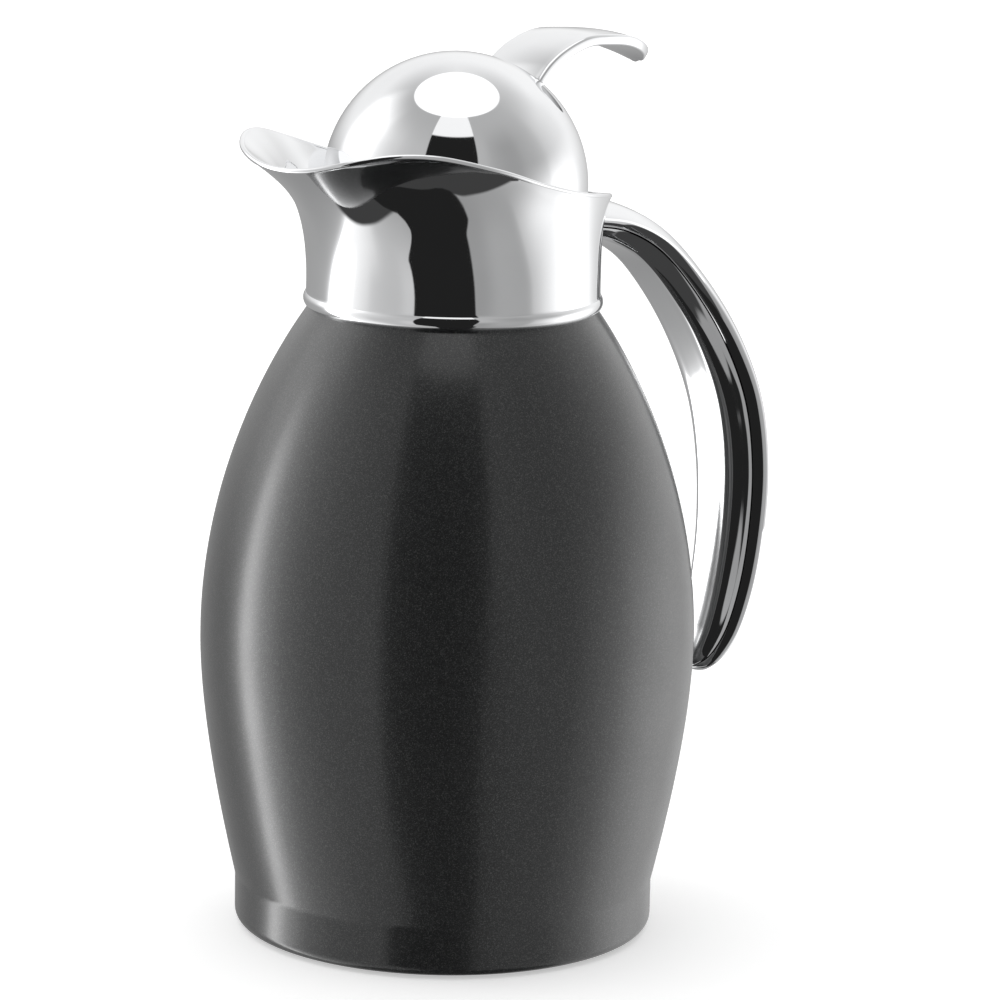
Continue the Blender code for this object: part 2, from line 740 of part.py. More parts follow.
def hinge_pin():
    pin = screw_mesh(2.1, 0.8, PIN_RADIUS, PIN_LENGTH)
    head_y = -(EAR_INNER_Y + EAR_THICKNESS + 0.2)
    at("hinge_pin", pin, pin_place(head_y), STEEL)
    clip_y = EAR_INNER_Y + EAR_THICKNESS + 0.3
    clip = [(2.3, 0.6), (2.3, 0.0), (PIN_RADIUS + GAP, 0.0), (PIN_RADIUS + GAP, 0.6)]
    at("pin_clip", turned_mesh(clip, 16), pin_place(clip_y), STEEL)


def hinge_spring():
    """A coil round the pin. One leg hooks through the arm, the other rests on the handle's root."""
    start_y, end_y = 0.45, 2.65
    per_turn = 12
    count = int(SPRING_TURNS * per_turn)
    left = PIN_X - SPRING_RADIUS
    points = [(left - 1.9, start_y, SPRING_HOOK_Z), (left - 0.3, start_y, SPRING_HOOK_Z)]
    points.append((left, start_y, SPRING_HOOK_Z + 0.4))
    for i in range(count + 1):
        angle = math.pi + 2 * math.pi * i / per_turn
        y = start_y + (end_y - start_y) * i / count
        around = Vector((math.cos(angle), 0.0, -math.sin(angle))) * SPRING_RADIUS
        points.append(around + Vector((PIN_X, y, PIN_Z)))
    points.append((PIN_X + SPRING_RADIUS + 0.4, end_y, PIN_Z - 3.3))
    curve = bpy.data.curves.new("hinge_spring", "CURVE")
    curve.dimensions = "3D"
    curve.bevel_depth = SPRING_WIRE_RADIUS * MM
    curve.bevel_resolution = 1
    curve.use_fill_caps = True
    spline = curve.splines.new("POLY")
    spline.points.add(len(points) - 1)
    for point, place in zip(spline.points, points):
        point.co = (*(Vector(place) * MM), 1.0)
    curve.materials.append(STEEL)
    PARTS.objects.link(bpy.data.objects.new("hinge_spring", curve))


# Lid


def dome_arc(radius, bottom_z, steps):
    """Outline of the dome from its top down to a height."""
    low = math.degrees(math.asin((bottom_z - DOME_Z) / radius))
    return arc((0.0, DOME_Z), radius, 90.0, low, steps)


def lever_screw_places(distance):
    """Along radii of the dome, at a distance from its centre."""
    radial = Vector((math.sin(LEVER_SCREW_TILT), 0.0, math.cos(LEVER_SCREW_TILT)))
    spots = []
    for side in (1, -1):
        spot = Vector((0, side * LEVER_SCREW_Y, DOME_Z)) + radial * distance
        spots.append(placed(spot, radial))
    return spots


def lid_dome():
    outside = dome_arc(DOME_RADIUS, DOME_BOTTOM_Z, 9)
    inside = dome_arc(DOME_RADIUS - DOME_WALL, DOME_BOTTOM_Z, 7)
    outside[0] = (0.0, outside[0][1])
    inside[0] = (0.0, inside[0][1])
    dome = turned("lid_dome", outside + inside[::-1], CHROME)
    return cut_holes(dome, 1.55, 5.0, lever_screw_places(31.5))


def thumb_lever():
    line = through(LEVER_LINE, [LEVER_STEPS] * (len(LEVER_LINE) - 1))
    rings = []
    for i, (x, z) in enumerate(line):
        before, after = line[max(i - 1, 0)], line[min(i + 1, len(line) - 1)]
        along = (after - before).normalized()
        down = Vector((along[1], 0, -along[0]))
        past = max(0.0, (x - LEVER_TIP_START) / (line[-1][0] + 0.3 - LEVER_TIP_START))
        width = LEVER_HALF_WIDTH * math.sqrt(1 - past * past)
        blend = max(0.0, min(1.0, (x - line[0][0]) / 16.0))
        blend = blend * blend * (3 - 2 * blend)
        thickness = LEVER_ROOT_THICKNESS + (LEVER_THICKNESS - LEVER_ROOT_THICKNESS) * blend
        rings.append(lever_ring(Vector((x, 0, z)), down, width, thickness))
    lever = finish(bpy.data.objects.new("thumb_lever", loft_mesh(rings)), CHROME)
    ball = bpy.data.meshes.new("dome_cutter")
    bm = bmesh.new()
    shift = Matrix.Translation((0, 0, DOME_Z * MM))
    bmesh.ops.create_uvsphere(bm, u_segments=48, v_segments=24, radius=(DOME_RADIUS + GAP) * MM, matrix=shift)
    bm.to_mesh(ball)
    bm.free()
    combine(lever, bpy.data.objects.new("dome_cutter", ball))
    return cut_holes(lever, 1.55, 4.4, lever_screw_places(33.4))


def lever_ring(centre, down, width, thickness):
    """A lens across the lever: a crowned upper face, thin edges and a fuller lower face."""
    steps = 6
    upper, lower = [], []
    for i in range(steps + 1):
        across = -1.0 + 2.0 * i / steps
        drop = LEVER_CROWN * (width / LEVER_HALF_WIDTH) * across * across
        edge = min(LEVER_EDGE, thickness)
        depth = edge + (thickness - edge) * (1 - across * across)
        side = Vector((0, width * across, 0))
        upper.append(centre + side + down * drop)
        lower.append(centre + side + down * (drop + depth))
    return upper + lower[::-1]


def lever_parts():
    distance = 31.0
    half_width = LEVER_SCREW_Y + 3.2
    plate = prism("lever_plate", box(-3.4, 3.4, 0.0, 1.0), half_width)
    radial = (math.sin(LEVER_SCREW_TILT), 0.0, math.cos(LEVER_SCREW_TILT))
    spot = Vector((0, 0, DOME_Z)) + Vector(radial) * (distance - 0.1)
    plate.data.transform(placed(spot, radial))
    finish(plate, STEEL)
    cut_holes(plate, 1.55, 5.0, lever_screw_places(distance - 2.0))
    copies("lever_screw", screw_mesh(2.2, 1.4, 1.25, 6.4), lever_screw_places(distance - 0.3), STEEL)


def lid_insert(arm_screw_places):
    flange_z = DOME_BOTTOM_Z - GAP
    wall = 1.8
    rise_radius = 31.0
    rise_top = 192.0
    floor = flange_z + 0.2
    profile = [(0.0, rise_top), (4.5, rise_top), (4.5, floor), (rise_radius - wall, floor)]
    profile += [(rise_radius - wall, rise_top), (rise_radius, rise_top), (rise_radius, flange_z)]
    profile += [(INSERT_RADIUS, flange_z), (INSERT_RADIUS, INSERT_BOTTOM_Z + 0.5)]
    profile += [(INSERT_RADIUS - 0.5, INSERT_BOTTOM_Z), (0.0, INSERT_BOTTOM_Z)]
    insert = turned("lid_insert", profile, BLACK_PLASTIC)
    cut_holes(insert, 2.3, 7.0, [placed((0, 0, INSERT_BOTTOM_Z - 1.0), (0, 0, 1))])
    return cut_holes(insert, 0.95, 3.3, arm_screw_places)


def lid_insulation():
    low = DOME_BOTTOM_Z + 0.3
    outer = 28.6
    inner = 5.0
    profile = [(outer - 3.0, INSULATION_TOP_Z), (outer, INSULATION_TOP_Z - 3.0), (outer, low), (inner, low)]
    profile += [(inner, INSULATION_TOP_Z)]
    return turned("lid_insulation", profile, FOAM)


def stopper_parts():
    top = INSERT_BOTTOM_Z - GAP
    low = 170.8
    groove_low, groove_high = 172.4, 179.2
    recess = 2.6
    wall = 2.2
    shoulder_z = groove_high + 3.2
    profile = [(STOPPER_RADIUS, top), (STOPPER_RADIUS, shoulder_z), (STOPPER_RADIUS + 1.8, shoulder_z)]
    profile += [(STOPPER_RADIUS + 1.8, groove_high)]
    profile += [(seat_radius(height) - recess, height) for height in (groove_high, groove_low)]
    profile += [(seat_radius(groove_low) - 1.2, groove_low - 0.2), (seat_radius(low) - 1.2, low)]
    profile += [(2.5, low), (2.5, top), (5.0, top), (5.0, low + wall)]
    profile += [(seat_radius(low) - 1.2 - wall - 1.6, low + wall), (STOPPER_RADIUS - wall, groove_high + 1.6)]
    profile += [(STOPPER_RADIUS - wall, top)]
    turned("stopper_cone", profile, BLACK_PLASTIC)
    ring_low, ring_high = groove_low + 0.3, groove_high - 0.2
    outer, inner = 0.42, recess - 0.36
    ring = [(seat_radius(ring_high) - outer, ring_high), (seat_radius(ring_low) - outer, ring_low)]
    ring += [(seat_radius(ring_low) - inner, ring_low), (seat_radius(ring_high) - inner, ring_high)]
    turned("stopper_seal", ring, SILICONE)
    screw = screw_mesh(4.6, 1.2, 2.0, 19.0)
    at("stopper_screw", screw, placed((0, 0, low - 0.2), (0, 0, 1)), STEEL)


def build():
    outer_shell()
    inner_liner()
    base_parts()
    spout_collar()
    funnel_parts()
    handle_parts()
    hinge_bracket()
    arm_screws = hinge_arm()
    hinge_pin()
    hinge_spring()
    lid_dome()
    thumb_lever()
    lever_parts()
    lid_insert(arm_screws)
    lid_insulation()
    stopper_parts()


build()
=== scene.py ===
"""Visual model of a vacuum carafe with a chrome pouring collar and a hinged ball lid.

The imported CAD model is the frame. Pieces that need finer curves stand in for their CAD nodes, and the
other nodes stay and get finished materials. Sizes are in millimetres, on the CAD model's own axes.
"""

import json
import math

import bmesh
import bpy
from mathutils import Matrix, Vector


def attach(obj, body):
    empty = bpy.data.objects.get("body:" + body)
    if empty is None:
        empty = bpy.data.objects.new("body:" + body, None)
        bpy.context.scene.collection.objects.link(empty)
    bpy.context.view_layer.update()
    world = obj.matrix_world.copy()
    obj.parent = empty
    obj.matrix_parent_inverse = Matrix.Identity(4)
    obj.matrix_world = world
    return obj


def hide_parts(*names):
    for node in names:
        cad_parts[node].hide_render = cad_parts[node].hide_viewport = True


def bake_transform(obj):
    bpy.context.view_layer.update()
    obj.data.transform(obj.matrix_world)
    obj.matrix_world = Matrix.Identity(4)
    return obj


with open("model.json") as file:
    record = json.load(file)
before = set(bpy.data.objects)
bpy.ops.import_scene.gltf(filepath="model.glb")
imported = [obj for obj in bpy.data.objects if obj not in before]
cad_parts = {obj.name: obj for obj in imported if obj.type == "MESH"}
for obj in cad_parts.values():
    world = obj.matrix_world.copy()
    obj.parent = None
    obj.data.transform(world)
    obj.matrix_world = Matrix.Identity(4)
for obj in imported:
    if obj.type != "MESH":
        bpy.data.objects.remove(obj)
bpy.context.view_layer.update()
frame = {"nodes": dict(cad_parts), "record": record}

MM = 0.001
GAP = 0.3
TURN_STEPS = 160

# Vessel
BELLY_RADIUS = 65.0
BELLY_Z = 78.1
SHOULDER_RADIUS = 37.35
SHOULDER_Z = 165.7
FOOT_RADIUS = 55.3
FOOT_Z = 13.0
FOOT_CORNER = 3.0
SHELL_BOTTOM_Z = 0.6
SHELL_WALL = 0.9
LINER_WALL = 0.8
VACUUM_GAP = 6.0
LINER_BOTTOM_Z = 13.5
LINER_CORNER = 8.0
LINER_TAPER = 0.6  # from the belly's low end in to the corner
LINER_NECK_Z = 168.0
LINER_FLARE = (0.9, 164.6)  # out from the neck, height
NECK_RADIUS = 30.0
NECK_BASE_Z = 169.8
NECK_TOP_Z = 175.0
NECK_FLARE = ((34.0, 168.2), (35.4, SHOULDER_Z + 0.2))
FLANGE_RADIUS = 31.4
FLANGE_THICKNESS = 1.0
PAD_RADIUS = 50.0
PAD_THICKNESS = 1.6
PAD_CHAMFER = 0.6
PAD_MARGIN = 4.0
PAD_HUB_RADIUS = 12.0
GROOVE_PITCH = 6.0
GROOVE_WIDTH = 2.0
GROOVE_DEPTH = 0.5

# Collar
WAIST_RADIUS = 37.15
WAIST_Z = 172.0
COLLAR_WALL = 1.1
BEAD_CENTRE_RADIUS = 36.5
BEAD_RADIUS = 1.4
BEAD_Z = 167.6
BEAD_ARC = (-72, 50)  # degrees, from its foot up to the wall
BEAD_FILLET = ((0.12, 1.5), (0.03, 2.2))  # out from the waist, above the bead's centre
LIP_RADIUS = 0.68
LIP_ARC = range(-20, 201, 20)  # degrees, from the outer face over the rim

# Half of the rim, from the rear to the spout's tip: x, y, z, and how far the wall leans out there.
RIM = (
    (40.4, 0.0, 193.2, 24.0),
    (37.1, 15.6, 194.0, 23.0),
    (28.5, 27.6, 196.0, 22.0),
    (8.6, 37.6, 199.3, 20.0),
    (-6.5, 39.4, 203.0, 24.0),
    (-23.2, 39.0, 208.2, 38.0),
    (-40.0, 32.6, 212.2, 50.0),
    (-49.6, 26.8, 212.4, 54.0),
    (-57.0, 19.0, 210.4, 56.0),
    (-60.7, 9.5, 208.2, 56.0),
    (-61.8, 0.0, 207.5, 56.0),
)
COLUMN_ANGLE = 2.5
WALL_ROWS = 30
FOOT_PULL = 0.42
RIM_PULL = 0.3

# Funnel
SEAT_RADIUS = 21.5
SEAT_Z = 170.0
SEAT_SLOPE = 0.6
FUNNEL_BASE_Z = 178.4
FUNNEL_TOP_Z = 181.5
FUNNEL_SKIRT_RADIUS = 27.8
COLLAR_BORE = 35.4
COLLAR_SCREW_CIRCLE = 33.6
COLLAR_SCREW_TURNS = (60, 180, 300)

# Lid
DOME_RADIUS = 34.4
DOME_Z = 197.5
DOME_WALL = 1.0
DOME_BOTTOM_Z = 187.0
INSERT_BOTTOM_Z = 184.8
INSERT_RADIUS = 32.8
STOPPER_RADIUS = 24.5

# Hinge
PIN_X = 38.0
PIN_Z = 196.0
NOTCH_HALF_WIDTH = 7.0
NOTCH_Z = 190.5
NOTCH_CORNER = 1.6
NOTCH_HEIGHT = 12.0
NOTCH_HALF_DEPTH = 6.0
SPRING_WIRE_RADIUS = 0.28
SPRING_RADIUS = 1.85
SPRING_TURNS = 2.5
SPRING_START_Y = 0.45
SPRING_END_Y = 2.65
SPRING_HOOK_Z = 187.9
SPRING_HOOK_REACH = 1.9
SPRING_BEND = 0.6
SPRING_REST = (0.4, -3.3)  # end of its other leg, from the coil's rear side

# Lever: centre line of its upper face.
LEVER_LINE = (
    (16.0, 221.6),
    (19.0, 225.2),
    (23.0, 228.9),
    (28.5, 232.1),
    (37.5, 234.9),
    (46.0, 234.9),
    (54.0, 233.9),
    (61.0, 231.7),
    (66.0, 229.2),
    (69.3, 226.6),
)
LEVER_HALF_WIDTH = 11.1
LEVER_TIP_START = 44.0
LEVER_ROOT_THICKNESS = 6.5
LEVER_ROOT_LENGTH = 16.0
LEVER_THICKNESS = 3.6
LEVER_EDGE = 3.0
LEVER_CROWN = 0.8
LEVER_RIM_POWER = 0.55  # 1 is a round rim, and less is squarer
LEVER_SCREW_Y = 5.0
LEVER_SCREW_TILT = math.radians(38.7)

# Handle: centre line x, z, then half of its thickness and half of its width there.
HANDLE_LINE = (
    (34.0, 186.2, 6.6, 11.0),
    (44.0, 185.4, 6.4, 11.0),
    (56.0, 183.0, 6.3, 11.1),
    (69.5, 176.5, 6.6, 11.4),
    (83.5, 163.9, 7.2, 12.0),
    (96.5, 147.5, 8.0, 12.7),
    (105.5, 130.0, 8.5, 12.9),
    (109.5, 111.0, 8.5, 12.5),
    (109.6, 92.0, 8.4, 11.6),
    (106.8, 75.0, 8.1, 10.7),
    (102.3, 63.0, 6.9, 9.4),
    (97.6, 56.4, 5.0, 7.2),
    (94.4, 53.6, 2.4, 3.6),
)
HANDLE_WALL = 1.8
HANDLE_PARTING = -0.325  # share of half of its thickness
PARTING_EASE = 0.14

# Half of the handle's section, from the spine to the side of the fingers: outwards and sideways, as shares.
HANDLE_SECTION = (
    (0.812, 0.0),
    (0.66, 0.54),
    (0.44, 0.79),
    (0.16, 1.005),
    (0.06, 1.055),
    (-0.04, 1.045),
    (-0.42, 0.8),
    (-0.8, 0.575),
    (-0.905, 0.46),
    (-0.92, 0.27),
    (-0.925, 0.0),
)
HANDLE_TIP_RADIUS = 2.2
HANDLE_SCREW_Y = 5.5
HANDLE_SCREW_Z = 185.7

# Holes: radius and depth.
FUNNEL_HOLE = (1.4, 12.0)
COLLAR_HOLE = (1.45, 8.0)
DOME_HOLE = (1.55, 5.0)
LEVER_HOLE = (1.55, 4.4)
ARM_HOLE = (0.95, 3.3)

# Screws: head radius, head height, shank radius and length.
FUNNEL_SCREW = (1.8, 1.3, 1.1, FUNNEL_TOP_Z - NECK_BASE_Z - 2.0)
ROOT_SCREW = (2.1, 1.1, 1.25, 12.0)
LEVER_SCREW = (2.2, 1.4, 1.25, 6.4)
ARM_SCREW = (1.2, 0.7, 0.75, 2.9)
CONE_SCREW = (4.6, 1.2, 2.0, 19.0)
PAN_HEAD = ((1.0, 0.45), (0.82, 0.85), (0.4, 1.0), (0.0, 1.0))  # shares of its radius and height

# Where holes and screws start. The lever's are distances from the dome's centre.
COLLAR_HOLE_X = 33.0
ROOT_SCREW_X = 33.96
DOME_HOLE_START = 31.5
LEVER_HOLE_START = 33.4
LEVER_SCREW_START = 30.7
ARM_SCREW_X = (28.8, 32.0)
ARM_SCREW_Z = 183.3
CONE_SCREW_Z = 170.6

# Camera and studio
VIEW_AZIMUTH = math.radians(44.5)
CAMERA_DISTANCE = 1.25
CAMERA_HEIGHT = 0.380872
CAMERA_YAW = 0.0105688537
CAMERA_PITCH = 0.210151313
CAMERA_ROLL = 0.0202364937
LENS = 175.54
SENSOR = 36.0
CLIP_END = 50.0
FLOOR_RADIUS = 8.0
FLOOR_GLOW = 0.45

RECORD = frame["record"]
SLOTS = {part["node"]: part["material_slot"] for part in RECORD["subparts"]}
BODIES = {node: body for body, nodes in RECORD["behaviour"]["bodies"].items() for node in nodes}


# Materials


class Finish:
    """A Principled material. Its patterns use object coordinates, so their scales are per metre."""

    def __init__(self, name, color, metallic, roughness, **constants):
        self.material = bpy.data.materials.new(name)
        self.material.use_nodes = True
        self.tree = self.material.node_tree
        self.shader = self.tree.nodes["Principled BSDF"]
        self.set("Base Color", (*color, 1.0))
        self.set("Metallic", metallic)
        self.set("Roughness", roughness)
        for socket, value in constants.items():
            self.set(socket.replace("_", " "), value)
        self.place = self.tree.nodes.new("ShaderNodeTexCoord").outputs["Object"]

    def set(self, socket, value):
        self.shader.inputs[socket].default_value = value

    def link(self, source, target):
        self.tree.links.new(source, target)

    def stretched(self, scale):
        mapping = self.tree.nodes.new("ShaderNodeMapping")
        mapping.inputs["Scale"].default_value = scale
        self.link(self.place, mapping.inputs["Vector"])
        return mapping.outputs["Vector"]

    def noise(self, scale, detail=3.0, vector=None):
        node = self.tree.nodes.new("ShaderNodeTexNoise")
        node.inputs["Scale"].default_value = scale
        node.inputs["Detail"].default_value = detail
        self.link(vector or self.place, node.inputs["Vector"])
        return node.outputs["Fac"]

    def cells(self, scale):
        """A different grey for each cell, and the distance from the cell's centre."""
        node = self.tree.nodes.new("ShaderNodeTexVoronoi")
        node.inputs["Scale"].default_value = scale
        self.link(self.place, node.inputs["Vector"])
        split = self.tree.nodes.new("ShaderNodeSeparateColor")
        self.link(node.outputs["Color"], split.inputs["Color"])
        return split.outputs["Red"], node.outputs["Distance"]

    def ramp(self, value, stops):
        """Maps a value to a colour or grey through stops of position and colour."""
        node = self.tree.nodes.new("ShaderNodeValToRGB")
        elements = node.color_ramp.elements
        while len(elements) < len(stops):
            elements.new(0.5)
        for element, (position, color) in zip(elements, stops):
            element.position = position
            element.color = (*color, 1.0) if isinstance(color, tuple) else (color, color, color, 1.0)
        self.link(value, node.inputs["Fac"])
        return node.outputs["Color"]

    def vary(self, socket, value, low, high, start=0.3, end=0.7):
        self.link(self.ramp(value, ((start, low), (end, high))), self.shader.inputs[socket])

    def bump(self, value, distance, strength=1.0):
        """Adds relief of a height in metres on top of what is there."""
        node = self.tree.nodes.new("ShaderNodeBump")
        node.inputs["Strength"].default_value = strength
        node.inputs["Distance"].default_value = distance
        self.link(value, node.inputs["Height"])
        below = self.shader.inputs["Normal"].links
        if below:
            self.link(below[0].from_socket, node.inputs["Normal"])
        self.link(node.outputs["Normal"], self.shader.inputs["Normal"])


def chrome_finish():
    finish = Finish("chrome_plate", (0.87, 0.875, 0.885), 1.0, 0.03)
    finish.vary("Base Color", finish.noise(70.0), (0.855, 0.86, 0.87), (0.885, 0.89, 0.9))
    finish.vary("Roughness", finish.noise(120.0, 5.0), 0.018, 0.05)
    finish.bump(finish.noise(45.0, 1.0), 1.6e-5)
    finish.bump(finish.noise(1.0, 2.0, finish.stretched((900.0, 900.0, 90.0))), 2.0e-7)
    return finish.material


def lacquer_finish():
    coat = {"Coat_Weight": 0.8, "Coat_Roughness": 0.17, "Coat_IOR": 1.55}
    finish = Finish("charcoal_lacquer", (0.02, 0.021, 0.022), 0.35, 0.36, **coat)
    flake, _ = finish.cells(5200.0)
    grey = (
        (0.0, (0.011, 0.0118, 0.0124)),
        (0.5, (0.019, 0.0198, 0.0203)),
        (0.82, (0.033, 0.0344, 0.035)),
        (1.0, (0.074, 0.076, 0.074)),
    )
    finish.link(finish.ramp(flake, grey), finish.shader.inputs["Base Color"])
    finish.vary("Roughness", finish.noise(60.0), 0.33, 0.39)
    finish.bump(flake, 5.5e-6)
    finish.bump(finish.noise(700.0, 2.0), 2.0e-6)
    return finish.material


def steel_finish():
    finish = Finish("drawn_steel", (0.58, 0.58, 0.57), 1.0, 0.28)
    lines = finish.noise(1.0, 4.0, finish.stretched((60.0, 60.0, 2600.0)))
    finish.vary("Base Color", lines, (0.5, 0.5, 0.49), (0.64, 0.64, 0.63))
    finish.vary("Roughness", lines, 0.2, 0.38)
    finish.bump(lines, 3.0e-6)
    finish.bump(finish.noise(90.0), 1.5e-5)
    return finish.material


def zinc_finish():
    finish = Finish("cast_zinc", (0.5, 0.5, 0.52), 1.0, 0.45)
    grain = finish.noise(900.0, 6.0)
    finish.vary("Base Color", finish.noise(150.0), (0.44, 0.44, 0.455), (0.56, 0.56, 0.575))
    finish.vary("Roughness", grain, 0.36, 0.58)
    finish.bump(grain, 1.6e-5)
    return finish.material


def getter_finish():
    finish = Finish("sintered_getter", (0.3, 0.29, 0.28), 0.6, 0.6)
    grain, distance = finish.cells(3600.0)
    finish.vary("Base Color", grain, (0.2, 0.195, 0.19), (0.4, 0.385, 0.37), 0.0, 1.0)
    finish.vary("Roughness", finish.noise(500.0), 0.5, 0.72)
    finish.bump(distance, 4.0e-5)
    return finish.material


def plastic_finish():
    finish = Finish("moulded_plastic", (0.02, 0.02, 0.022), 0.0, 0.4)
    grain = finish.noise(2300.0, 4.0)
    finish.vary("Base Color", finish.noise(110.0), (0.016, 0.016, 0.018), (0.027, 0.027, 0.029))
    finish.vary("Roughness", grain, 0.34, 0.5)
    finish.bump(grain, 7.0e-6)
    return finish.material


def silicone_finish():
    depth = {"Subsurface_Weight": 0.25, "Subsurface_Scale": 0.002}
    finish = Finish("grey_silicone", (0.55, 0.56, 0.57), 0.0, 0.45, **depth)
    finish.vary("Base Color", finish.noise(260.0), (0.49, 0.5, 0.51), (0.6, 0.61, 0.62))
    finish.vary("Roughness", finish.noise(700.0), 0.38, 0.52)
    finish.bump(finish.noise(1500.0), 5.0e-6)
    return finish.material


def rubber_finish():
    finish = Finish("black_rubber", (0.025, 0.025, 0.025), 0.0, 0.75)
    grain = finish.noise(1800.0, 5.0)
    finish.vary("Base Color", finish.noise(140.0), (0.018, 0.018, 0.018), (0.034, 0.034, 0.033))
    finish.vary("Roughness", grain, 0.66, 0.86)
    finish.bump(grain, 2.0e-5)
    return finish.material


def foam_finish():
    finish = Finish("rigid_foam", (0.8, 0.78, 0.7), 0.0, 0.9)
    tone, distance = finish.cells(1500.0)
    finish.vary("Base Color", tone, (0.7, 0.68, 0.58), (0.86, 0.84, 0.77), 0.0, 1.0)
    finish.vary("Roughness", finish.noise(400.0), 0.82, 0.97)
    finish.bump(distance, 1.6e-4)
    return finish.material


FINISHES = {
    "chrome": chrome_finish(),
    "powder_coat": lacquer_finish(),
    "steel": steel_finish(),
    "zinc": zinc_finish(),
    "getter_metal": getter_finish(),
    "black_plastic": plastic_finish(),
    "silicone": silicone_finish(),
    "rubber": rubber_finish(),
    "foam": foam_finish(),
}


# Outlines


def arc(centre, radius, start, end, steps):
    """Points on a circle in a plane of two coordinates, with angles in degrees."""
    angles = [math.radians(start + (end - start) * step / steps) for step in range(steps + 1)]
    return [(centre[0] + radius * math.cos(a), centre[1] + radius * math.sin(a)) for a in angles]


def bezier(p0, p1, p2, p3, steps):
    points = []
    for step in range(steps + 1):
        t = step / steps
        weights = ((1 - t) ** 3, 3 * (1 - t) ** 2 * t, 3 * (1 - t) * t * t, t**3)
        points.append(sum((Vector(p) * w for p, w in zip((p0, p1, p2, p3), weights)), Vector(p0) * 0))
    return points


def through(points, steps):
    """A centripetal Catmull-Rom curve, cut into a number of steps between each point and the next."""
    points = [Vector(p) for p in points]
    points = [2 * points[0] - points[1], *points, 2 * points[-1] - points[-2]]
    curve = []
    for i in range(1, len(points) - 2):
        p0, p1, p2, p3 = points[i - 1 : i + 3]
        t1 = (p1 - p0).length ** 0.5
        t2 = t1 + (p2 - p1).length ** 0.5
        t3 = t2 + (p3 - p2).length ** 0.5
        count = steps[i - 1]
        for step in range(count):
            t = t1 + (t2 - t1) * step / count
            a1 = ((t1 - t) * p0 + t * p1) / t1
            a2 = ((t2 - t) * p1 + (t - t1) * p2) / (t2 - t1)
            a3 = ((t3 - t) * p2 + (t - t2) * p3) / (t3 - t2)
            b1 = ((t2 - t) * a1 + t * a2) / t2
            b2 = ((t3 - t) * a2 + (t - t1) * a3) / (t3 - t1)
            curve.append(((t2 - t) * b1 + (t - t1) * b2) / (t2 - t1))
    curve.append(points[-2])
    return curve


def inset(points, distance):
    """The outline moved to its right, which is inwards when it runs down the outer side."""
    moved = []
    for i, (r, z) in enumerate(points):
        before = points[max(i - 1, 0)]
        after = points[min(i + 1, len(points) - 1)]
        along = Vector((after[0] - before[0], after[1] - before[1])).normalized()
        moved.append((r + along[1] * distance, z - along[0] * distance))
    return moved


def filleted(points, radius, steps=4):
    """The outline with its corners rounded. It is a loop unless it starts and ends on the axis."""
    loop = points[0][0] > 0
    rounded = []
    for i, point in enumerate(points):
        here = Vector(point)
        if not loop and i in (0, len(points) - 1):
            rounded.append(tuple(here))
            continue
        back = Vector(points[i - 1]) - here
        on = Vector(points[(i + 1) % len(points)]) - here
        turn = math.pi - back.angle(on)
        if turn < math.radians(20.0):
            rounded.append(tuple(here))
            continue
        cut = min(radius * math.tan(turn / 2), 0.45 * back.length, 0.45 * on.length)
        start = here + back.normalized() * cut
        end = here + on.normalized() * cut
        for step in range(steps + 1):
            t = step / steps
            rounded.append(tuple(start * (1 - t) ** 2 + here * 2 * t * (1 - t) + end * t * t))
    return rounded


def egg():
    """The belly from the shoulder down to the foot."""
    widest = (BELLY_RADIUS, BELLY_Z)
    upper = bezier((SHOULDER_RADIUS, SHOULDER_Z), (46.3, 153.3), (BELLY_RADIUS, 120.9), widest, 48)
    lower = bezier(widest, (BELLY_RADIUS, 56.0), (58.6, 27.0), (FOOT_RADIUS, FOOT_Z), 32)
    return [tuple(p) for p in upper[:-1] + lower]


# Meshes


def skin(rows, loop=False, caps=False):
    """A mesh over closed rows of points in millimetres. A row of one point makes a pole."""
    bm = bmesh.new()
    made = [[bm.verts.new(Vector(p) * MM) for p in row] for row in rows]
    pairs = list(zip(made, made[1:]))
    if loop:
        pairs.append((made[-1], made[0]))
    for low, high in pairs:
        count = max(len(low), len(high))
        for i in range(count):
            j = (i + 1) % count
            corners = (low[i % len(low)], low[j % len(low)], high[j % len(high)], high[i % len(high)])
            bm.faces.new(list(dict.fromkeys(corners)))
    if caps:
        bm.faces.new(made[0])
        bm.faces.new(made[-1])
    bmesh.ops.recalc_face_normals(bm, faces=bm.faces)
    mesh = bpy.data.meshes.new("skin")
    bm.to_mesh(mesh)
    bm.free()
    return mesh


def turned(profile, steps=TURN_STEPS):
    """The mesh of a profile of radius and height turned round Z."""
    turns = [2 * math.pi * i / steps for i in range(steps)]
    rows = []
    for radius, z in profile:
        if radius < 1e-6:
            rows.append([(0.0, 0.0, z)])
        else:
            rows.append([(radius * math.cos(turn), radius * math.sin(turn), z) for turn in turns])
    return skin(rows, loop=profile[0][0] > 1e-6)


def placed(origin, direction):
    """A matrix that puts Z = 0 at the origin and points +Z along the direction."""
    turn = Vector((0, 0, 1)).rotation_difference(Vector(direction)).to_matrix().to_4x4()
    return Matrix.Translation(Vector(origin) * MM) @ turn


def rod(radius, length, place):
    mesh = turned([(0.0, 0.0), (radius, 0.0), (radius, length), (0.0, length)], 32)
    mesh.transform(place)
    return mesh


def linked(name, data):
    obj = bpy.data.objects.new(name, data)
    bpy.context.scene.collection.objects.link(obj)
    return obj


def evaluated(obj):
    bpy.context.view_layer.update()
    return bpy.data.meshes.new_from_object(obj.evaluated_get(bpy.context.evaluated_depsgraph_get()))


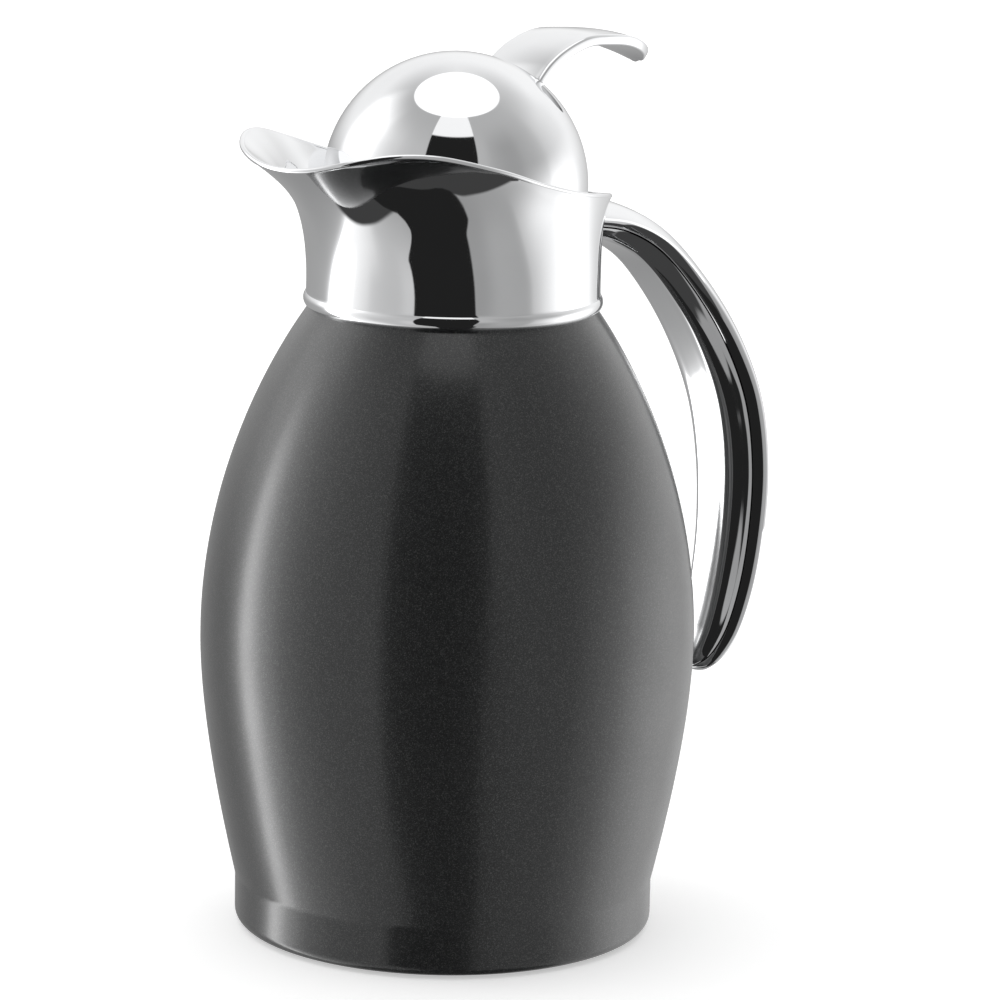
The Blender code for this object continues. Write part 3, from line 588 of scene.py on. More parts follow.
def carved(mesh, cutters):
    """The mesh with the cutters' meshes taken away."""
    obj = linked("carving", mesh)
    tools = [linked("cutter", cutter) for cutter in cutters]
    for tool in tools:
        boolean = obj.modifiers.new("cut", "BOOLEAN")
        boolean.operation = "DIFFERENCE"
        boolean.object = tool
    result = evaluated(obj)
    for used in (obj, *tools):
        bpy.data.objects.remove(used, do_unlink=True)
    return result


def stand_in(name, mesh, *nodes, sharp=35.0):
    """Shows a mesh in place of CAD nodes, on their body and in their finish."""
    obj = linked(name, mesh)
    mesh.materials.clear()
    mesh.materials.append(FINISHES[SLOTS[nodes[0]]])
    mesh.shade_smooth()
    mesh.set_sharp_from_angle(angle=math.radians(sharp))
    weighted = obj.modifiers.new("normals", "WEIGHTED_NORMAL")
    weighted.keep_sharp = True
    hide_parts(*nodes)
    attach(obj, BODIES[nodes[0]])
    return obj


# Vessel


def shell_profile():
    corner = arc((FOOT_RADIUS - FOOT_CORNER, SHELL_BOTTOM_Z + FOOT_CORNER), FOOT_CORNER, 0, -90, 10)
    lip_end = (PAD_RADIUS + 2 * GAP, SHELL_BOTTOM_Z)
    neck = [(NECK_RADIUS, NECK_TOP_Z), (NECK_RADIUS, NECK_BASE_Z), *NECK_FLARE]
    outside = neck + egg() + corner + [lip_end]
    inside = inset(outside, SHELL_WALL)
    inside[0] = (NECK_RADIUS - SHELL_WALL, NECK_TOP_Z)
    inside[-1] = (lip_end[0], SHELL_BOTTOM_Z + SHELL_WALL)
    return outside + inside[::-1]


def liner_profile():
    corner_z = LINER_BOTTOM_Z + LINER_CORNER
    belly = [p for p in inset(egg(), SHELL_WALL + VACUUM_GAP) if p[1] > corner_z]
    corner_radius = belly[-1][0] - LINER_TAPER - LINER_CORNER
    corner = arc((corner_radius, corner_z), LINER_CORNER, 0, -90, 10)
    neck_radius = NECK_RADIUS - SHELL_WALL - GAP
    top = NECK_TOP_Z + GAP
    flare, flare_z = LINER_FLARE
    neck = [(neck_radius, top), (neck_radius, LINER_NECK_Z), (neck_radius + flare, flare_z)]
    wall = neck + belly + corner
    inside = inset(wall, LINER_WALL)
    inside[0] = (neck_radius - LINER_WALL, top + FLANGE_THICKNESS)
    flange = [(FLANGE_RADIUS, top + FLANGE_THICKNESS), (FLANGE_RADIUS, top)]
    profile = [(0.0, LINER_BOTTOM_Z + LINER_WALL)] + inside[::-1] + flange + wall
    return profile + [(0.0, LINER_BOTTOM_Z)]


def pad_profile():
    """The pad, with round grooves in its underside."""
    profile = [(0.0, PAD_THICKNESS), (PAD_RADIUS, PAD_THICKNESS), (PAD_RADIUS, PAD_CHAMFER)]
    profile.append((PAD_RADIUS - PAD_CHAMFER, 0.0))
    radius = PAD_RADIUS - PAD_MARGIN
    while radius > PAD_HUB_RADIUS:
        end = radius - GROOVE_WIDTH
        profile += [(radius, 0.0), (radius - GROOVE_DEPTH, GROOVE_DEPTH)]
        profile += [(end + GROOVE_DEPTH, GROOVE_DEPTH), (end, 0.0)]
        radius -= GROOVE_PITCH
    return profile + [(0.0, 0.0)]


# Collar


def rim_azimuth(rim):
    """Angle from the spout, in degrees."""
    return math.degrees(math.atan2(rim[1], -rim[0]))


def rim_curve():
    """The whole rim as columns, each a point and the lean of the wall there."""
    past_rear, past_tip = ((x, -y, z, lean) for x, y, z, lean in (RIM[1], RIM[-2]))
    turns = [rim_azimuth(a) - rim_azimuth(b) for a, b in zip(RIM, RIM[1:])]
    steps = [max(5, math.ceil(turn / COLUMN_ANGLE)) for turn in turns]
    one_side = through([past_rear, *RIM, past_tip], [1, *steps, 1])[1:-1]
    other_side = [Vector((x, -y, z, lean)) for x, y, z, lean in one_side[-2:0:-1]]
    return one_side + other_side


def wall_column(rim, along):
    """Points of one column of the collar's outer face, from its bottom edge up to the rim."""
    x, y, z, lean = rim
    radial = Vector((x, y, 0.0)).normalized()
    bead = arc((BEAD_CENTRE_RADIUS, BEAD_Z), BEAD_RADIUS, *BEAD_ARC, 12)
    bead += [(WAIST_RADIUS + out, BEAD_Z + height) for out, height in BEAD_FILLET]
    points = [radial * radius + Vector((0, 0, height)) for radius, height in bead]
    foot = radial * WAIST_RADIUS + Vector((0, 0, WAIST_Z))
    top = Vector((x, y, z))
    outward = Vector((along[1], -along[0], 0.0)).normalized()
    tilt = math.radians(lean)
    rise = outward * math.sin(tilt) + Vector((0, 0, math.cos(tilt)))
    reach = (top - foot).length
    upright = foot + Vector((0, 0, FOOT_PULL * reach))
    return points + bezier(foot, upright, top - rise * RIM_PULL * reach, top, WALL_ROWS)


def collar_mesh():
    """The wall, with a rolled lip round its rim."""
    rims = rim_curve()
    count = len(rims)
    columns = [wall_column(rim, rims[(i + 1) % count] - rims[i - 1]) for i, rim in enumerate(rims)]
    outer, inner, lip = [], [], []
    for i, column in enumerate(columns):
        ahead = columns[(i + 1) % count]
        behind = columns[i - 1]
        normals = []
        for k in range(len(column)):
            up = column[min(k + 1, len(column) - 1)] - column[max(k - 1, 0)]
            normals.append(up.cross(ahead[k] - behind[k]).normalized())
        up = (column[-1] - column[-2]).normalized()
        centre = column[-1] - normals[-1] * COLLAR_WALL / 2 - up * LIP_RADIUS
        edge = []
        for angle in map(math.radians, LIP_ARC):
            edge.append(centre + (normals[-1] * math.cos(angle) + up * math.sin(angle)) * LIP_RADIUS)
        lip.append(edge)
        outer.append(column[:-1])
        inner.append([p - n * COLLAR_WALL for p, n in zip(column[:-1], normals)])
    rows = [*zip(*outer), *zip(*lip), *list(zip(*inner))[::-1]]
    return skin(rows, loop=True)


def notch_outline():
    """The cut for the hinge, seen along X, with round lower corners."""
    side = NOTCH_HALF_WIDTH - NOTCH_CORNER
    low = NOTCH_Z + NOTCH_CORNER
    top = NOTCH_Z + NOTCH_HEIGHT
    left = arc((-side, low), NOTCH_CORNER, 180, 270, 6)
    right = arc((side, low), NOTCH_CORNER, 270, 360, 6)
    return left + right + [(NOTCH_HALF_WIDTH, top), (-NOTCH_HALF_WIDTH, top)]


def collar_notch():
    ends = (PIN_X - NOTCH_HALF_DEPTH, PIN_X + NOTCH_HALF_DEPTH)
    return skin([[(x, y, z) for y, z in notch_outline()] for x in ends], caps=True)


def handle_screw_places(x):
    return [placed((x, side * HANDLE_SCREW_Y, HANDLE_SCREW_Z), (1, 0, 0)) for side in (1, -1)]


def seat_radius(z):
    return SEAT_RADIUS + SEAT_SLOPE * (z - SEAT_Z)


def collar_screw_places(z):
    places = []
    for angle in map(math.radians, COLLAR_SCREW_TURNS):
        spot = (COLLAR_SCREW_CIRCLE * math.cos(angle), COLLAR_SCREW_CIRCLE * math.sin(angle), z)
        places.append(placed(spot, (0, 0, -1)))
    return places


def funnel_mesh():
    profile = [(COLLAR_BORE, FUNNEL_TOP_Z), (COLLAR_BORE, FUNNEL_BASE_Z)]
    profile += [(FUNNEL_SKIRT_RADIUS, FUNNEL_BASE_Z), (FUNNEL_SKIRT_RADIUS, SEAT_Z)]
    profile += [(SEAT_RADIUS, SEAT_Z), (seat_radius(FUNNEL_TOP_Z), FUNNEL_TOP_Z)]
    holes = [rod(*FUNNEL_HOLE, place) for place in collar_screw_places(FUNNEL_TOP_Z + GAP)]
    return carved(turned(filleted(profile, 0.5)), holes)


def gasket_profile():
    low = NECK_TOP_Z + 2 * GAP + FLANGE_THICKNESS
    high = FUNNEL_BASE_Z - GAP
    inner = NECK_RADIUS - SHELL_WALL - GAP - LINER_WALL + 0.2
    return filleted([(FLANGE_RADIUS, high), (FLANGE_RADIUS, low), (inner, low), (inner, high)], 0.25)


# Handle


def half_section(thickness, width):
    """Points (outwards, sideways) from the middle of the spine to the middle of the finger side."""
    ends = (HANDLE_SECTION[1], HANDLE_SECTION[-2])
    past_spine, past_fingers = ((out, -side) for out, side in ends)
    steps = [1] + [12] * (len(HANDLE_SECTION) - 1) + [1]
    curve = through([past_spine, *HANDLE_SECTION, past_fingers], steps)[1:-1]
    return [Vector((out * thickness, side * width)) for out, side in curve]


def mirrored(points):
    return [Vector((out, -side)) for out, side in points]


def resampled(points, steps):
    """The polyline as a number of steps of equal length."""
    lengths = [0.0]
    for before, after in zip(points, points[1:]):
        lengths.append(lengths[-1] + (after - before).length)
    result = []
    i = 0
    for step in range(steps + 1):
        goal = lengths[-1] * step / steps
        while i < len(points) - 2 and lengths[i + 1] < goal:
            i += 1
        share = (goal - lengths[i]) / (lengths[i + 1] - lengths[i])
        result.append(points[i].lerp(points[i + 1], share))
    return result


def section_arc(thickness, width, level, outer, steps):
    """The section outside, or inside, of a level across its thickness, from one side to the other."""
    half = half_section(thickness, width)
    cut = next(i for i, point in enumerate(half) if point[0] < level)
    above, below = half[cut - 1], half[cut]
    edge = above.lerp(below, (above[0] - level) / (above[0] - below[0]))
    part = [edge] + (half[:cut][::-1] if outer else half[cut:])
    return resampled(part + mirrored(part[-2::-1]), steps)


def eased(points):
    """The arc with its two ends drawn in, which breaks the sharp edge at the parting."""
    middle = (points[0] + points[-1]) / 2
    for i in (0, -1):
        points[i] = points[i] + (middle - points[i]).normalized() * PARTING_EASE
    return points


def handle_stations():
    line = through(HANDLE_LINE, [12] * (len(HANDLE_LINE) - 1))
    places = [Vector((x, 0, z)) for x, z, _, _ in line]
    left = sum((b - a).length for a, b in zip(places, places[1:]))
    stations = []
    for i, (_, _, thickness, width) in enumerate(line):
        along = (places[min(i + 1, len(line) - 1)] - places[max(i - 1, 0)]).normalized()
        outward = Vector((-along[2], 0, along[0]))
        if i:
            left -= (places[i] - places[i - 1]).length
        short = max(0.0, 1.0 - left / HANDLE_TIP_RADIUS)
        scale = max(0.12, math.sqrt(1.0 - short * short))
        stations.append((places[i], outward, thickness * scale, width * scale))
    return stations


def handle_ring(station, section):
    centre, outward, _, _ = station
    return [centre + outward * out + Vector((0, side, 0)) for out, side in section]


def spine_section(station):
    _, _, thickness, width = station
    level = HANDLE_PARTING * thickness
    wall = min(HANDLE_WALL, 0.4 * thickness)
    skin_arc = eased(section_arc(thickness, width, level, True, 56))
    core = section_arc(thickness - wall, width - wall, level, True, 28)
    return skin_arc + core[::-1]


def cover_section(station):
    _, _, thickness, width = station
    level = HANDLE_PARTING * thickness - min(GAP, 0.1 * thickness)
    wall = min(HANDLE_WALL, 0.3 * thickness)
    skin_arc = eased(section_arc(thickness, width, level, False, 36))
    core = section_arc(thickness - wall, width - wall, level, False, 20)
    return skin_arc + core[::-1]


def collar_cutter():
    """The rear of the collar as a turned solid, grown by a little more than the gap."""
    column = wall_column(RIM[0], (0.0, 1.0))
    outside = [(point[0] + 1.3 * GAP, point[2]) for point in reversed(column)]
    return turned([(0.0, outside[0][1]), *outside, (0.0, outside[-1][1])])


def handle_mesh(section):
    stations = handle_stations()
    return carved(skin([handle_ring(s, section(s)) for s in stations], caps=True), [collar_cutter()])


# Hinge spring


def spring_mesh():
    """A coil round the pin. One leg hooks through the arm, the other rests on the handle's root."""
    per_turn = 48
    count = int(SPRING_TURNS * per_turn)
    left = PIN_X - SPRING_RADIUS
    bend = (left - SPRING_BEND, SPRING_HOOK_Z + SPRING_BEND)
    hook = [(left - SPRING_HOOK_REACH, SPRING_HOOK_Z), (left - SPRING_BEND, SPRING_HOOK_Z)]
    hook += arc(bend, SPRING_BEND, -75, -15, 4)
    hook.append((left, SPRING_HOOK_Z + 0.7))
    points = [(x, SPRING_START_Y, z) for x, z in hook]
    for i in range(count + 1):
        angle = math.pi + 2 * math.pi * i / per_turn
        y = SPRING_START_Y + (SPRING_END_Y - SPRING_START_Y) * i / count
        around = Vector((math.cos(angle), 0.0, -math.sin(angle))) * SPRING_RADIUS
        points.append(around + Vector((PIN_X, y, PIN_Z)))
    back, down = SPRING_REST
    points.append((PIN_X + SPRING_RADIUS + back, SPRING_END_Y, PIN_Z + down))
    curve = bpy.data.curves.new("wire", "CURVE")
    curve.dimensions = "3D"
    curve.bevel_depth = SPRING_WIRE_RADIUS * MM
    curve.bevel_resolution = 4
    curve.use_fill_caps = True
    spline = curve.splines.new("POLY")
    spline.points.add(len(points) - 1)
    for point, place in zip(spline.points, points):
        point.co = (*(Vector(place) * MM), 1.0)
    obj = linked("wire", curve)
    mesh = evaluated(obj)
    bpy.data.objects.remove(obj, do_unlink=True)
    bm = bmesh.new()
    bm.from_mesh(mesh)
    bmesh.ops.remove_doubles(bm, verts=bm.verts, dist=1e-6)
    bm.to_mesh(mesh)
    bm.free()
    return mesh


def hinge_spring():
    obj = linked("spring_coil", spring_mesh())
    obj.data.materials.clear()
    obj.data.materials.append(FINISHES[SLOTS["hinge_spring"]])
    obj.data.shade_smooth()
    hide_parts("hinge_spring")
    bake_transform(obj)


# Lid


def dome_arc(radius, bottom_z, steps):
    """Outline of the dome from its top down to a height."""
    low = math.degrees(math.asin((bottom_z - DOME_Z) / radius))
    points = arc((0.0, DOME_Z), radius, 90.0, low, steps)
    points[0] = (0.0, points[0][1])
    return points


def lever_screw_places(distance):
    """Along radii of the dome, at a distance from its centre."""
    radial = Vector((math.sin(LEVER_SCREW_TILT), 0.0, math.cos(LEVER_SCREW_TILT)))
    spots = [Vector((0, side * LEVER_SCREW_Y, DOME_Z)) + radial * distance for side in (1, -1)]
    return [placed(spot, radial) for spot in spots]


def dome_mesh():
    outside = dome_arc(DOME_RADIUS, DOME_BOTTOM_Z, 64)
    inside = dome_arc(DOME_RADIUS - DOME_WALL, DOME_BOTTOM_Z, 48)
    holes = [rod(*DOME_HOLE, place) for place in lever_screw_places(DOME_HOLE_START)]
    return carved(turned(filleted(outside + inside[::-1], 0.4)), holes)


def squared(value):
    """Turns a point of a circle into one of a squarer curve."""
    return math.copysign(abs(value) ** LEVER_RIM_POWER, value)


def lever_ring(centre, down, width, thickness, closing):
    """A lens across the lever: a crowned upper face, round edges and a fuller lower face."""
    radius = min(LEVER_EDGE / 2, 0.9 * width)
    flat = width - radius

    def point(side, drop):
        middle = LEVER_EDGE / 2
        return centre + Vector((0, side, 0)) + down * (middle + (drop - middle) * closing)

    def crown(side):
        return LEVER_CROWN * (width / LEVER_HALF_WIDTH) * (side / width) ** 2

    steps = 24
    sides = [flat * (-1.0 + 2.0 * i / steps) for i in range(steps + 1)]
    ring = [point(side, crown(side)) for side in sides]
    rim = arc((0.0, 0.0), 1.0, 90.0, -90.0, 12)[1:-1]
    rim = [(radius * squared(out), radius * (1.0 - squared(high))) for out, high in rim]
    ring += [point(flat + out, crown(flat) + drop) for out, drop in rim]
    for side in sides[::-1]:
        share = 1 - (side / flat) ** 2
        ring.append(point(side, crown(side) + LEVER_EDGE + (thickness - LEVER_EDGE) * share))
    ring += [point(-flat - out, crown(flat) + drop) for out, drop in rim[::-1]]
    return ring


def lever_mesh():
    line = [tuple(p) for p in through(LEVER_LINE, [10] * (len(LEVER_LINE) - 2) + [22])]
    end = Vector(line[-1])
    rings = []
    for i, (x, z) in enumerate(line):
        before = Vector(line[max(i - 1, 0)])
        after = Vector(line[min(i + 1, len(line) - 1)])
        along = (after - before).normalized()
        down = Vector((along[1], 0, -along[0]))
        past = max(0.0, (x - LEVER_TIP_START) / (end[0] + 0.02 - LEVER_TIP_START))
        width = LEVER_HALF_WIDTH * math.sqrt(1 - past * past)
        blend = max(0.0, min(1.0, (x - line[0][0]) / LEVER_ROOT_LENGTH))
        blend = blend * blend * (3 - 2 * blend)
        thickness = LEVER_ROOT_THICKNESS + (LEVER_THICKNESS - LEVER_ROOT_THICKNESS) * blend
        short = max(0.0, 1.0 - (end - Vector((x, z))).length / (LEVER_EDGE / 2))
        closing = max(0.1, math.sqrt(1.0 - short * short))
        rings.append(lever_ring(Vector((x, 0, z)), down, width, thickness, closing))
    ball = turned(arc((0.0, DOME_Z), DOME_RADIUS + GAP, 90.0, -90.0, 72), 144)
    holes = [rod(*LEVER_HOLE, place) for place in lever_screw_places(LEVER_HOLE_START)]
    return carved(skin(rings, caps=True), [ball, *holes])


def arm_screw_places():
    return [placed((x, 0.0, ARM_SCREW_Z), (0, 0, 1)) for x in ARM_SCREW_X]


def insert_mesh():
    flange_z = DOME_BOTTOM_Z - GAP
    rise_radius, rise_top, wall = 31.0, 192.0, 1.8
    bore, boss = 2.3, 4.5
    floor = flange_z + 0.2
    profile = [(bore, rise_top), (boss, rise_top), (boss, floor), (rise_radius - wall, floor)]
    profile += [(rise_radius - wall, rise_top), (rise_radius, rise_top), (rise_radius, flange_z)]
    profile += [(INSERT_RADIUS, flange_z), (INSERT_RADIUS, INSERT_BOTTOM_Z), (bore, INSERT_BOTTOM_Z)]
    holes = [rod(*ARM_HOLE, place) for place in arm_screw_places()]
    return carved(turned(filleted(profile, 0.45)), holes)


def stopper_profile():
    top = INSERT_BOTTOM_Z - GAP
    low = 170.8
    groove_low, groove_high = 172.4, 179.2
    recess = 2.6  # from the seat in to the groove's floor
    clearance = 1.2  # from the seat in to the nose
    wall = 2.2
    bore, boss = 2.5, 5.0
    ledge_radius = STOPPER_RADIUS + 1.8
    ledge_z = groove_high + 3.2
    nose = seat_radius(low) - clearance
    profile = [(STOPPER_RADIUS, top), (STOPPER_RADIUS, ledge_z)]
    profile += [(ledge_radius, ledge_z), (ledge_radius, groove_high)]
    profile += [(seat_radius(height) - recess, height) for height in (groove_high, groove_low)]
    profile += [(seat_radius(groove_low) - clearance, groove_low - 0.2), (nose, low)]
    profile += [(bore, low), (bore, top), (boss, top), (boss, low + wall)]
    profile += [(nose - wall - 1.6, low + wall), (STOPPER_RADIUS - wall, groove_high + 1.6)]
    profile += [(STOPPER_RADIUS - wall, top)]
    return filleted(profile, 0.4)


def seal_profile():
    """The seal, with two low ribs on its sealing face."""
    low, high = 172.7, 179.0
    outer, inner = 0.42, 2.24
    rib_height, rib_steps, steps = 0.1, 12, 24
    face = []
    for i in range(steps + 1):
        height = high + (low - high) * i / steps
        rib = max(0.0, math.cos(2 * math.pi * (i - rib_steps / 2) / rib_steps)) * rib_height
        face.append((seat_radius(height) - outer - rib_height + rib, height))
    profile = [*face, (seat_radius(low) - inner, low), (seat_radius(high) - inner, high)]
    return filleted(profile, 0.3)


# Screws


def screw_mesh(head_radius, head_height, shank_radius, length):
    """A pan-head screw with a cross recess. Its shank runs from under the head, at Z = 0, along +Z."""
    top = -head_height
    profile = [(0.0, length), (shank_radius * 0.7, length)]
    profile += [(shank_radius, length - shank_radius * 0.4), (shank_radius, 0.0), (head_radius, 0.0)]
    profile += [(head_radius * across, top * up) for across, up in PAN_HEAD]
    long_side = head_radius * 0.58
    short_side = head_radius * 0.14
    slots = []
    for half_x, half_y in ((long_side, short_side), (short_side, long_side)):
        rows = []
        for z, share in ((top - 0.5, 1.0), (top * 0.42, 0.7)):
            x, y = half_x * share, half_y * share
            rows.append([(-x, -y, z), (x, -y, z), (x, y, z), (-x, y, z)])
        slots.append(skin(rows, caps=True))
    return carved(turned(filleted(profile, 0.2), 48), slots)


def screws(name, node, places, sizes):
    """A screw for each place, standing for the numbered nodes."""
    made = screw_mesh(*sizes)
    for number, place in enumerate(places, start=1):
        mesh = made.copy()
        mesh.transform(place)
        suffix = f"_{number}" if len(places) > 1 else ""
        stand_in(f"{name}{suffix}", mesh, f"{node}{suffix}")


def build_carafe():
    stand_in("carafe_shell", turned(shell_profile()), "outer_shell")
    stand_in("carafe_liner", turned(liner_profile()), "inner_liner")
    stand_in("foot_pad", turned(filleted(pad_profile(), 0.2)), "base_pad")
    holes = [rod(*COLLAR_HOLE, place) for place in handle_screw_places(COLLAR_HOLE_X)]
    collar = carved(collar_mesh(), [collar_notch(), *holes])
    stand_in("pour_collar", collar, "spout_collar", sharp=40.0)
    stand_in("seat_funnel", funnel_mesh(), "funnel_insert")
    stand_in("liner_gasket", turned(gasket_profile()), "neck_gasket")
    stand_in("handle_spine", handle_mesh(spine_section), "handle_outer")
    stand_in("handle_cover", handle_mesh(cover_section), "handle_inner")
    screws("funnel_screw", "collar_screw", collar_screw_places(FUNNEL_TOP_Z + GAP), FUNNEL_SCREW)
    screws("root_screw", "handle_screw", handle_screw_places(ROOT_SCREW_X), ROOT_SCREW)
    hinge_spring()


def build_lid():
    stand_in("ball_dome", dome_mesh(), "lid_dome")
    stand_in("lever_tongue", lever_mesh(), "thumb_lever", sharp=45.0)
    stand_in("dome_floor", insert_mesh(), "lid_insert")
    stand_in("stopper_body", turned(stopper_profile()), "stopper_cone")
    stand_in("seal_ring", turned(seal_profile()), "stopper_seal")
    screws("tongue_screw", "lever_screw", lever_screw_places(LEVER_SCREW_START), LEVER_SCREW)
    screws("arm_screw", "hinge_arm_screw", arm_screw_places(), ARM_SCREW)
    screws("cone_screw", "stopper_screw", [placed((0, 0, CONE_SCREW_Z), (0, 0, 1))], CONE_SCREW)


def finish_cad_nodes():
    for node, obj in frame["nodes"].items():
        for holder in obj.material_slots:
            holder.material = FINISHES[SLOTS[node]]


# Studio


def to_row(vector):
    """Turns a direction from the camera's compass bearing into the row's axes."""
    x, y, z = vector
    c, s = math.cos(VIEW_AZIMUTH), math.sin(VIEW_AZIMUTH)
    return Vector((x * c + y * s, -x * s + y * c, z))


def add_camera():
    yaw, pitch, roll = CAMERA_YAW, CAMERA_PITCH, CAMERA_ROLL
    level = math.cos(pitch)
    forward = Vector((math.sin(yaw) * level, math.cos(yaw) * level, -math.sin(pitch)))
    right = Vector((math.cos(yaw), -math.sin(yaw), 0.0))
    up = right.cross(forward)
    side = right * math.cos(roll) + up * math.sin(roll)
    top = up * math.cos(roll) - right * math.sin(roll)
    place = Vector((0.0, -CAMERA_DISTANCE, CAMERA_HEIGHT))
    axes = [to_row(vector) for vector in (side, top, -forward, place)]
    matrix = Matrix.Identity(4)
    for column, vector in enumerate(axes):
        for row in range(3):
            matrix[row][column] = vector[row]
    data = bpy.data.cameras.new("camera")
    data.lens = LENS
    data.sensor_width = SENSOR
    data.clip_end = CLIP_END
    camera = linked("camera", data)
    camera.matrix_world = matrix
    bpy.context.scene.camera = camera


class Studio:
    """World nodes for a white tent with a round light on top, a strip light at the side and a dark
    slit in front."""

    def __init__(self):
        world = bpy.data.worlds.new("studio")
        world.use_nodes = True
        bpy.context.scene.world = world
        self.tree = world.node_tree
        self.background = self.tree.nodes["Background"]
        self.direction = self.tree.nodes.new("ShaderNodeTexCoord").outputs["Generated"]

    def math(self, operation, *values):
        node = self.tree.nodes.new("ShaderNodeMath")
        node.operation = operation
        for socket, value in zip(node.inputs, values):
            if isinstance(value, bpy.types.NodeSocket):
                self.tree.links.new(value, socket)
            else:
                socket.default_value = value
        return node.outputs[0]

    def along(self, vector):
        node = self.tree.nodes.new("ShaderNodeVectorMath")
        node.operation = "DOT_PRODUCT"
        self.tree.links.new(self.direction, node.inputs[0])
        node.inputs[1].default_value = vector
        return node.outputs["Value"]

    def step(self, value, start, end):
        """Rises smoothly from 0 to 1 as the value goes from start to end."""
        node = self.tree.nodes.new("ShaderNodeMapRange")
        node.interpolation_type = "SMOOTHSTEP"
        self.tree.links.new(value, node.inputs["Value"])
        for socket, bound in (("From Min", start), ("From Max", end)):
            if isinstance(bound, bpy.types.NodeSocket):
                self.tree.links.new(bound, node.inputs[socket])
            else:
                node.inputs[socket].default_value = bound
        return node.outputs["Result"]

    def mix(self, share, first, second):
        kept = self.math("MULTIPLY", self.math("SUBTRACT", 1.0, share), first)
        return self.math("ADD", kept, self.math("MULTIPLY", share, second))

    def ramp(self, value, stops):
        node = self.tree.nodes.new("ShaderNodeFloatCurve")
        curve = node.mapping.curves[0]
        node.mapping.extend = "HORIZONTAL"
        curve.points[0].location = stops[0]
        curve.points[1].location = stops[-1]
        for x, y in stops[1:-1]:
            curve.points.new(x, y)
        for point in curve.points:
            point.handle_type = "AUTO_CLAMPED"
        node.mapping.update()
        self.tree.links.new(value, node.inputs["Value"])
        return node.outputs["Value"]


# Brightness of the tent by bearing from the camera, in degrees to the right, as a share of
# TENT_PEAK. Heights below are sines of elevation.
TENT_PEAK = 2.0
ROOF = ((-180, 0.44), (-120, 0.27), (-60, 0.24), (0, 0.24), (60, 0.24), (120, 0.3), (180, 0.44))
HIGH_WALL = (
    (-180, 0.5),
    (-155, 0.48),
    (-135, 0.5),
    (-115, 0.85),
    (-95, 0.75),
    (-78, 0.46),
    (-62, 0.34),
    (-45, 0.28),
    (-25, 0.27),
    (25, 0.25),
    (40, 0.2),
    (56, 0.18),
    (70, 0.21),
    (85, 0.25),
    (100, 0.35),
    (125, 0.45),
    (150, 0.52),
    (180, 0.5),
)
LOW_WALL = (
    (-180, 0.18),
    (-150, 0.19),
    (-125, 0.22),
    (-116, 0.36),
    (-106, 0.95),
    (-94, 0.95),
    (-84, 0.55),
    (-72, 0.41),
    (-60, 0.3),
    (-46, 0.28),
    (-32, 0.32),
    (20, 0.17),
    (40, 0.205),
    (56, 0.2),
    (66, 0.3),
    (78, 0.45),
    (90, 0.62),
    (104, 0.85),
    (122, 0.72),
    (145, 0.4),
    (165, 0.3),
    (180, 0.18),
)
TABLE = (
    (-180, 0.14),
    (-150, 0.16),
    (-124, 0.22),
    (-114, 0.4),
    (-104, 0.6),
    (-90, 0.56),
    (-78, 0.5),
    (-66, 0.42),
    (-52, 0.3),
    (-38, 0.265),
    (20, 0.165),
    (37, 0.18),
    (60, 0.195),
    (82, 0.24),
    (100, 0.32),
    (130, 0.3),
    (155, 0.2),
    (180, 0.14),
)
NADIR = 0.026
NADIR_EDGE = -0.9
NADIR_BLUR = 0.015
NADIR_RISE = (0.07, 0.54, 0.57)  # rise of its edge, and the shares of a turn where it starts and ends

# Heights between which each band fades into the one above it.
LOW_FADE = (-0.8, -0.3)
HIGH_FADE = (-0.15, 0.35)
ROOF_FADE = (0.55, 0.9)

STRIP = (-114.0, -107.0, -93.0)  # bearings of its edge, its middle and its other edge
STRIP_PEAK = 3.6
STRIP_LOW = (-0.9, -0.6)  # heights where it is dark and where it is bright
STRIP_HIGH = (0.5, 0.05)

SLIT_LEFT = -30.0
SLIT_RIGHT = 16.5
SLIT_BLUR = 0.002
SLIT_TOP = 0.755
SLIT_TOP_BLUR = 0.01
SLIT_DARK = 0.016
SLIT_BRIGHT = 1.05  # above its top

# How far the slit's edges move to the right, in degrees, as the height goes from one value to another.
LEFT_SHIFTS = ((14.0, -0.52, -0.76),)
RIGHT_SHIFTS = ((5.0, -0.4, 0.6), (4.0, -0.5, -0.65))

LAMP_AXIS = (0.0, 0.075, 0.997)
LAMP_EDGE = 0.892  # cosine of the angle from its axis
LAMP_BLUR = 0.004
LAMP_BRIGHT = 1.3


def bearing(degrees):
    """The share of a turn, which is 0.5 straight towards the camera."""
    return degrees / 360 + 0.5


